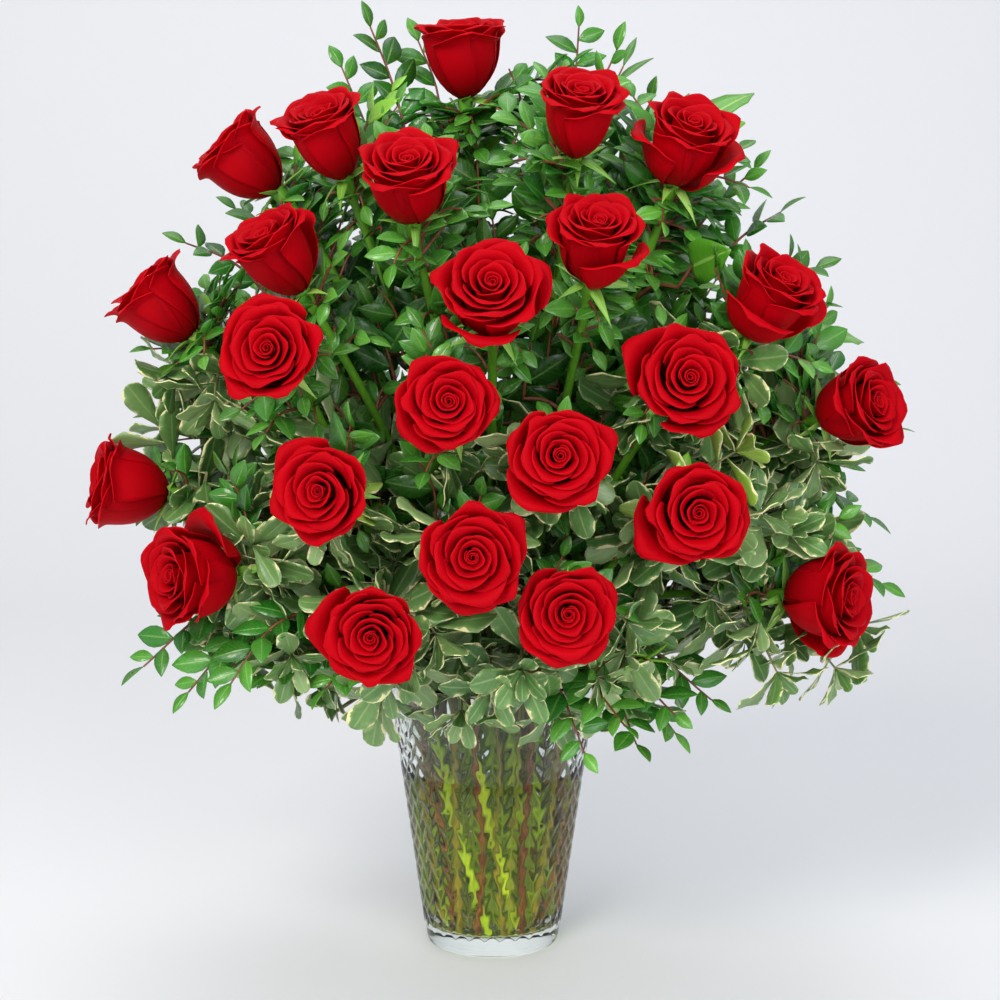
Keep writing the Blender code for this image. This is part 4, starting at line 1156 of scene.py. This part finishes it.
def flower_water():
    """Water that the stems have tinged yellow-green."""
    made, tree, shader = surface("flower_water")
    place = add(tree, "ShaderNodeTexCoord").outputs["Object"]
    haze = add(tree, "ShaderNodeTexNoise", {"Vector": place, "Scale": 40.0, "Detail": 2.0}).outputs["Fac"]
    tint = add(tree, "ShaderNodeMix", {0: haze, 6: srgb("#E6E6A0"), 7: srgb("#F4F4C8")}, data_type="RGBA")
    plug(tree, shader.inputs["Base Color"], tint)
    ripple = add(tree, "ShaderNodeBump", {"Height": haze, "Strength": 0.1, "Distance": 0.0005})
    plug(tree, shader.inputs["Normal"], ripple.outputs["Normal"])
    shader.inputs["Roughness"].default_value = 0.0
    shader.inputs["IOR"].default_value = 1.333
    shader.inputs["Specular Tint"].default_value = (0.12, 0.12, 0.12, 1.0)
    shader.inputs["Transmission Weight"].default_value = 1.0
    return clear_to_lamps(made, tree, shader)


def make_vase():
    """Glass shell with its relief and thick foot, and the water inside it."""
    slope = (RIM_RADIUS - FOOT_RADIUS) / RIM_HEIGHT
    outer = lambda z: FOOT_RADIUS + slope * z
    profile, walls = [(0.0, 0.0012), (0.030, 0.0012), (FOOT_RADIUS - 0.0045, 0.0006)], [0, 0, 0]
    for step in range(5):
        bend = math.radians(90 * step / 4)
        profile.append((outer(0) - 0.003 + 0.003 * math.sin(bend), 0.003 - 0.003 * math.cos(bend)))
        walls.append(0)
    for z in np.arange(0.0045, RIM_HEIGHT - 0.002, 0.0011):
        profile.append((outer(z), z))
        walls.append(1)
    middle = outer(RIM_HEIGHT) - GLASS_WALL / 2
    for step in range(9):
        bend = math.radians(180 * step / 8)
        profile.append((middle + GLASS_WALL / 2 * math.cos(bend), RIM_HEIGHT - 0.002 + 0.002 * math.sin(bend)))
        walls.append(0)
    for z in np.linspace(RIM_HEIGHT - 0.006, GLASS_FLOOR + 0.006, 14):
        profile.append((outer(z) - GLASS_WALL, z))
        walls.append(0)
    heel = outer(GLASS_FLOOR) - GLASS_WALL - 0.006
    for step in range(1, 7):
        bend = math.radians(90 * step / 6)
        profile.append((heel + 0.006 * math.cos(bend), GLASS_FLOOR + 0.006 - 0.006 * math.sin(bend)))
        walls.append(0)
    profile += [(0.015, GLASS_FLOOR - 0.0004), (0.0, GLASS_FLOOR - 0.0004)]
    walls += [0, 0]
    shell = turned_shell("vase_blank", profile, WALL_COLUMNS, walls)
    vase = grown("chevron_glass_vase", shell, relief_tree(), pressed_glass(), ridge_height=0.0011, columns=28.0,
                 row_pitch=0.0145, chevron_rise=0.0085, relief_foot=0.0125, relief_top=0.172)
    keep(vase, "clear_glass", "vase")
    lap = 0.0003
    inner = [(0.0, GLASS_FLOOR - 0.0007), (0.015, GLASS_FLOOR - 0.0007)]
    for step in range(6, -1, -1):
        bend = math.radians(90 * step / 6)
        inner.append((heel + (0.006 + lap) * math.cos(bend), GLASS_FLOOR + 0.006 - (0.006 + lap) * math.sin(bend)))
    for z in np.linspace(GLASS_FLOOR + 0.012, WATER_TOP, 10):
        inner.append((outer(z) - GLASS_WALL + lap, z))
    inner += [(outer(WATER_TOP) - GLASS_WALL - 0.0012, WATER_TOP - 0.0008),
              (outer(WATER_TOP) - GLASS_WALL - 0.004, WATER_TOP - 0.0013),
              (0.020, WATER_TOP - 0.0014), (0.0, WATER_TOP - 0.0014)]
    water = turned_shell("vase_water", inner, 96)
    water.data.materials.append(flower_water())
    keep(water, "water", "water")


# ---------------------------------------------------------------- stage

def make_stage():
    """Pale table and wall in one sweep, soft lights, and the camera."""
    steps = 24
    profile = [(-3.0, 0.0), (1.1, 0.0)]
    profile += [(1.1 + 0.9 * math.sin(a), 0.9 - 0.9 * math.cos(a)) for a in np.linspace(0, math.pi / 2, steps)[1:]]
    profile += [(2.0, 4.5)]
    points = [(x, y, z - 0.0003) for y, z in profile for x in (-4.0, 4.0)]
    sweep = mesh_object("studio_sweep", points, grid_faces(len(profile), 2))
    made, tree, shader = surface("studio_paper")
    shader.inputs["Base Color"].default_value = srgb("#E4E5E8")
    shader.inputs["Roughness"].default_value = 0.7
    sweep.data.materials.append(made)
    world = bpy.data.worlds.new("studio_air")
    SCENE.world = world
    world.use_nodes = True
    world.node_tree.nodes["Background"].inputs["Color"].default_value = srgb("#F2F5FA")
    world.node_tree.nodes["Background"].inputs["Strength"].default_value = 0.55
    for name, place, size, power, colour in (
            ("key", (-1.1, -2.1, 1.9), 1.0, 49, "#FFFBF2"),
            ("fill", (0.9, -2.1, 1.1), 1.6, 28, "#F6F9FF"),
            ("top", (0.0, 0.5, 2.4), 1.6, 16, "#FFFFFF")):
        data = bpy.data.lights.new(name, "AREA")
        data.energy, data.size, data.color = power, size, srgb(colour)[:3]
        lamp = bpy.data.objects.new(name, data)
        lamp.location = place
        lamp.rotation_euler = (Vector((0, 0, 0.3)) - Vector(place)).to_track_quat("-Z", "Y").to_euler()
        SCENE.collection.objects.link(lamp)
    data = bpy.data.cameras.new("camera")
    data.lens, data.sensor_width = 82.8, 36.0
    camera = bpy.data.objects.new("camera", data)
    camera.location = (0.005, -1.5, 0.53)
    camera.rotation_euler = (math.radians(90 - 8.7), 0, 0)
    SCENE.collection.objects.link(camera)
    SCENE.camera = camera
    SCENE.view_settings.view_transform = "Standard"


make_stage()
PETALS = velvet_petal()
for number, bloom in enumerate(BLOOMS):
    make_rose(bloom, number + 1, OPENNESS[number], DROPPED[number], PETALS)
LEAF_NODES, WOOD_NODES = leaf_tree(), twig_tree()
make_greenery(LEAF_NODES, WOOD_NODES)
make_stems(LEAF_NODES, WOOD_NODES)
make_vase()
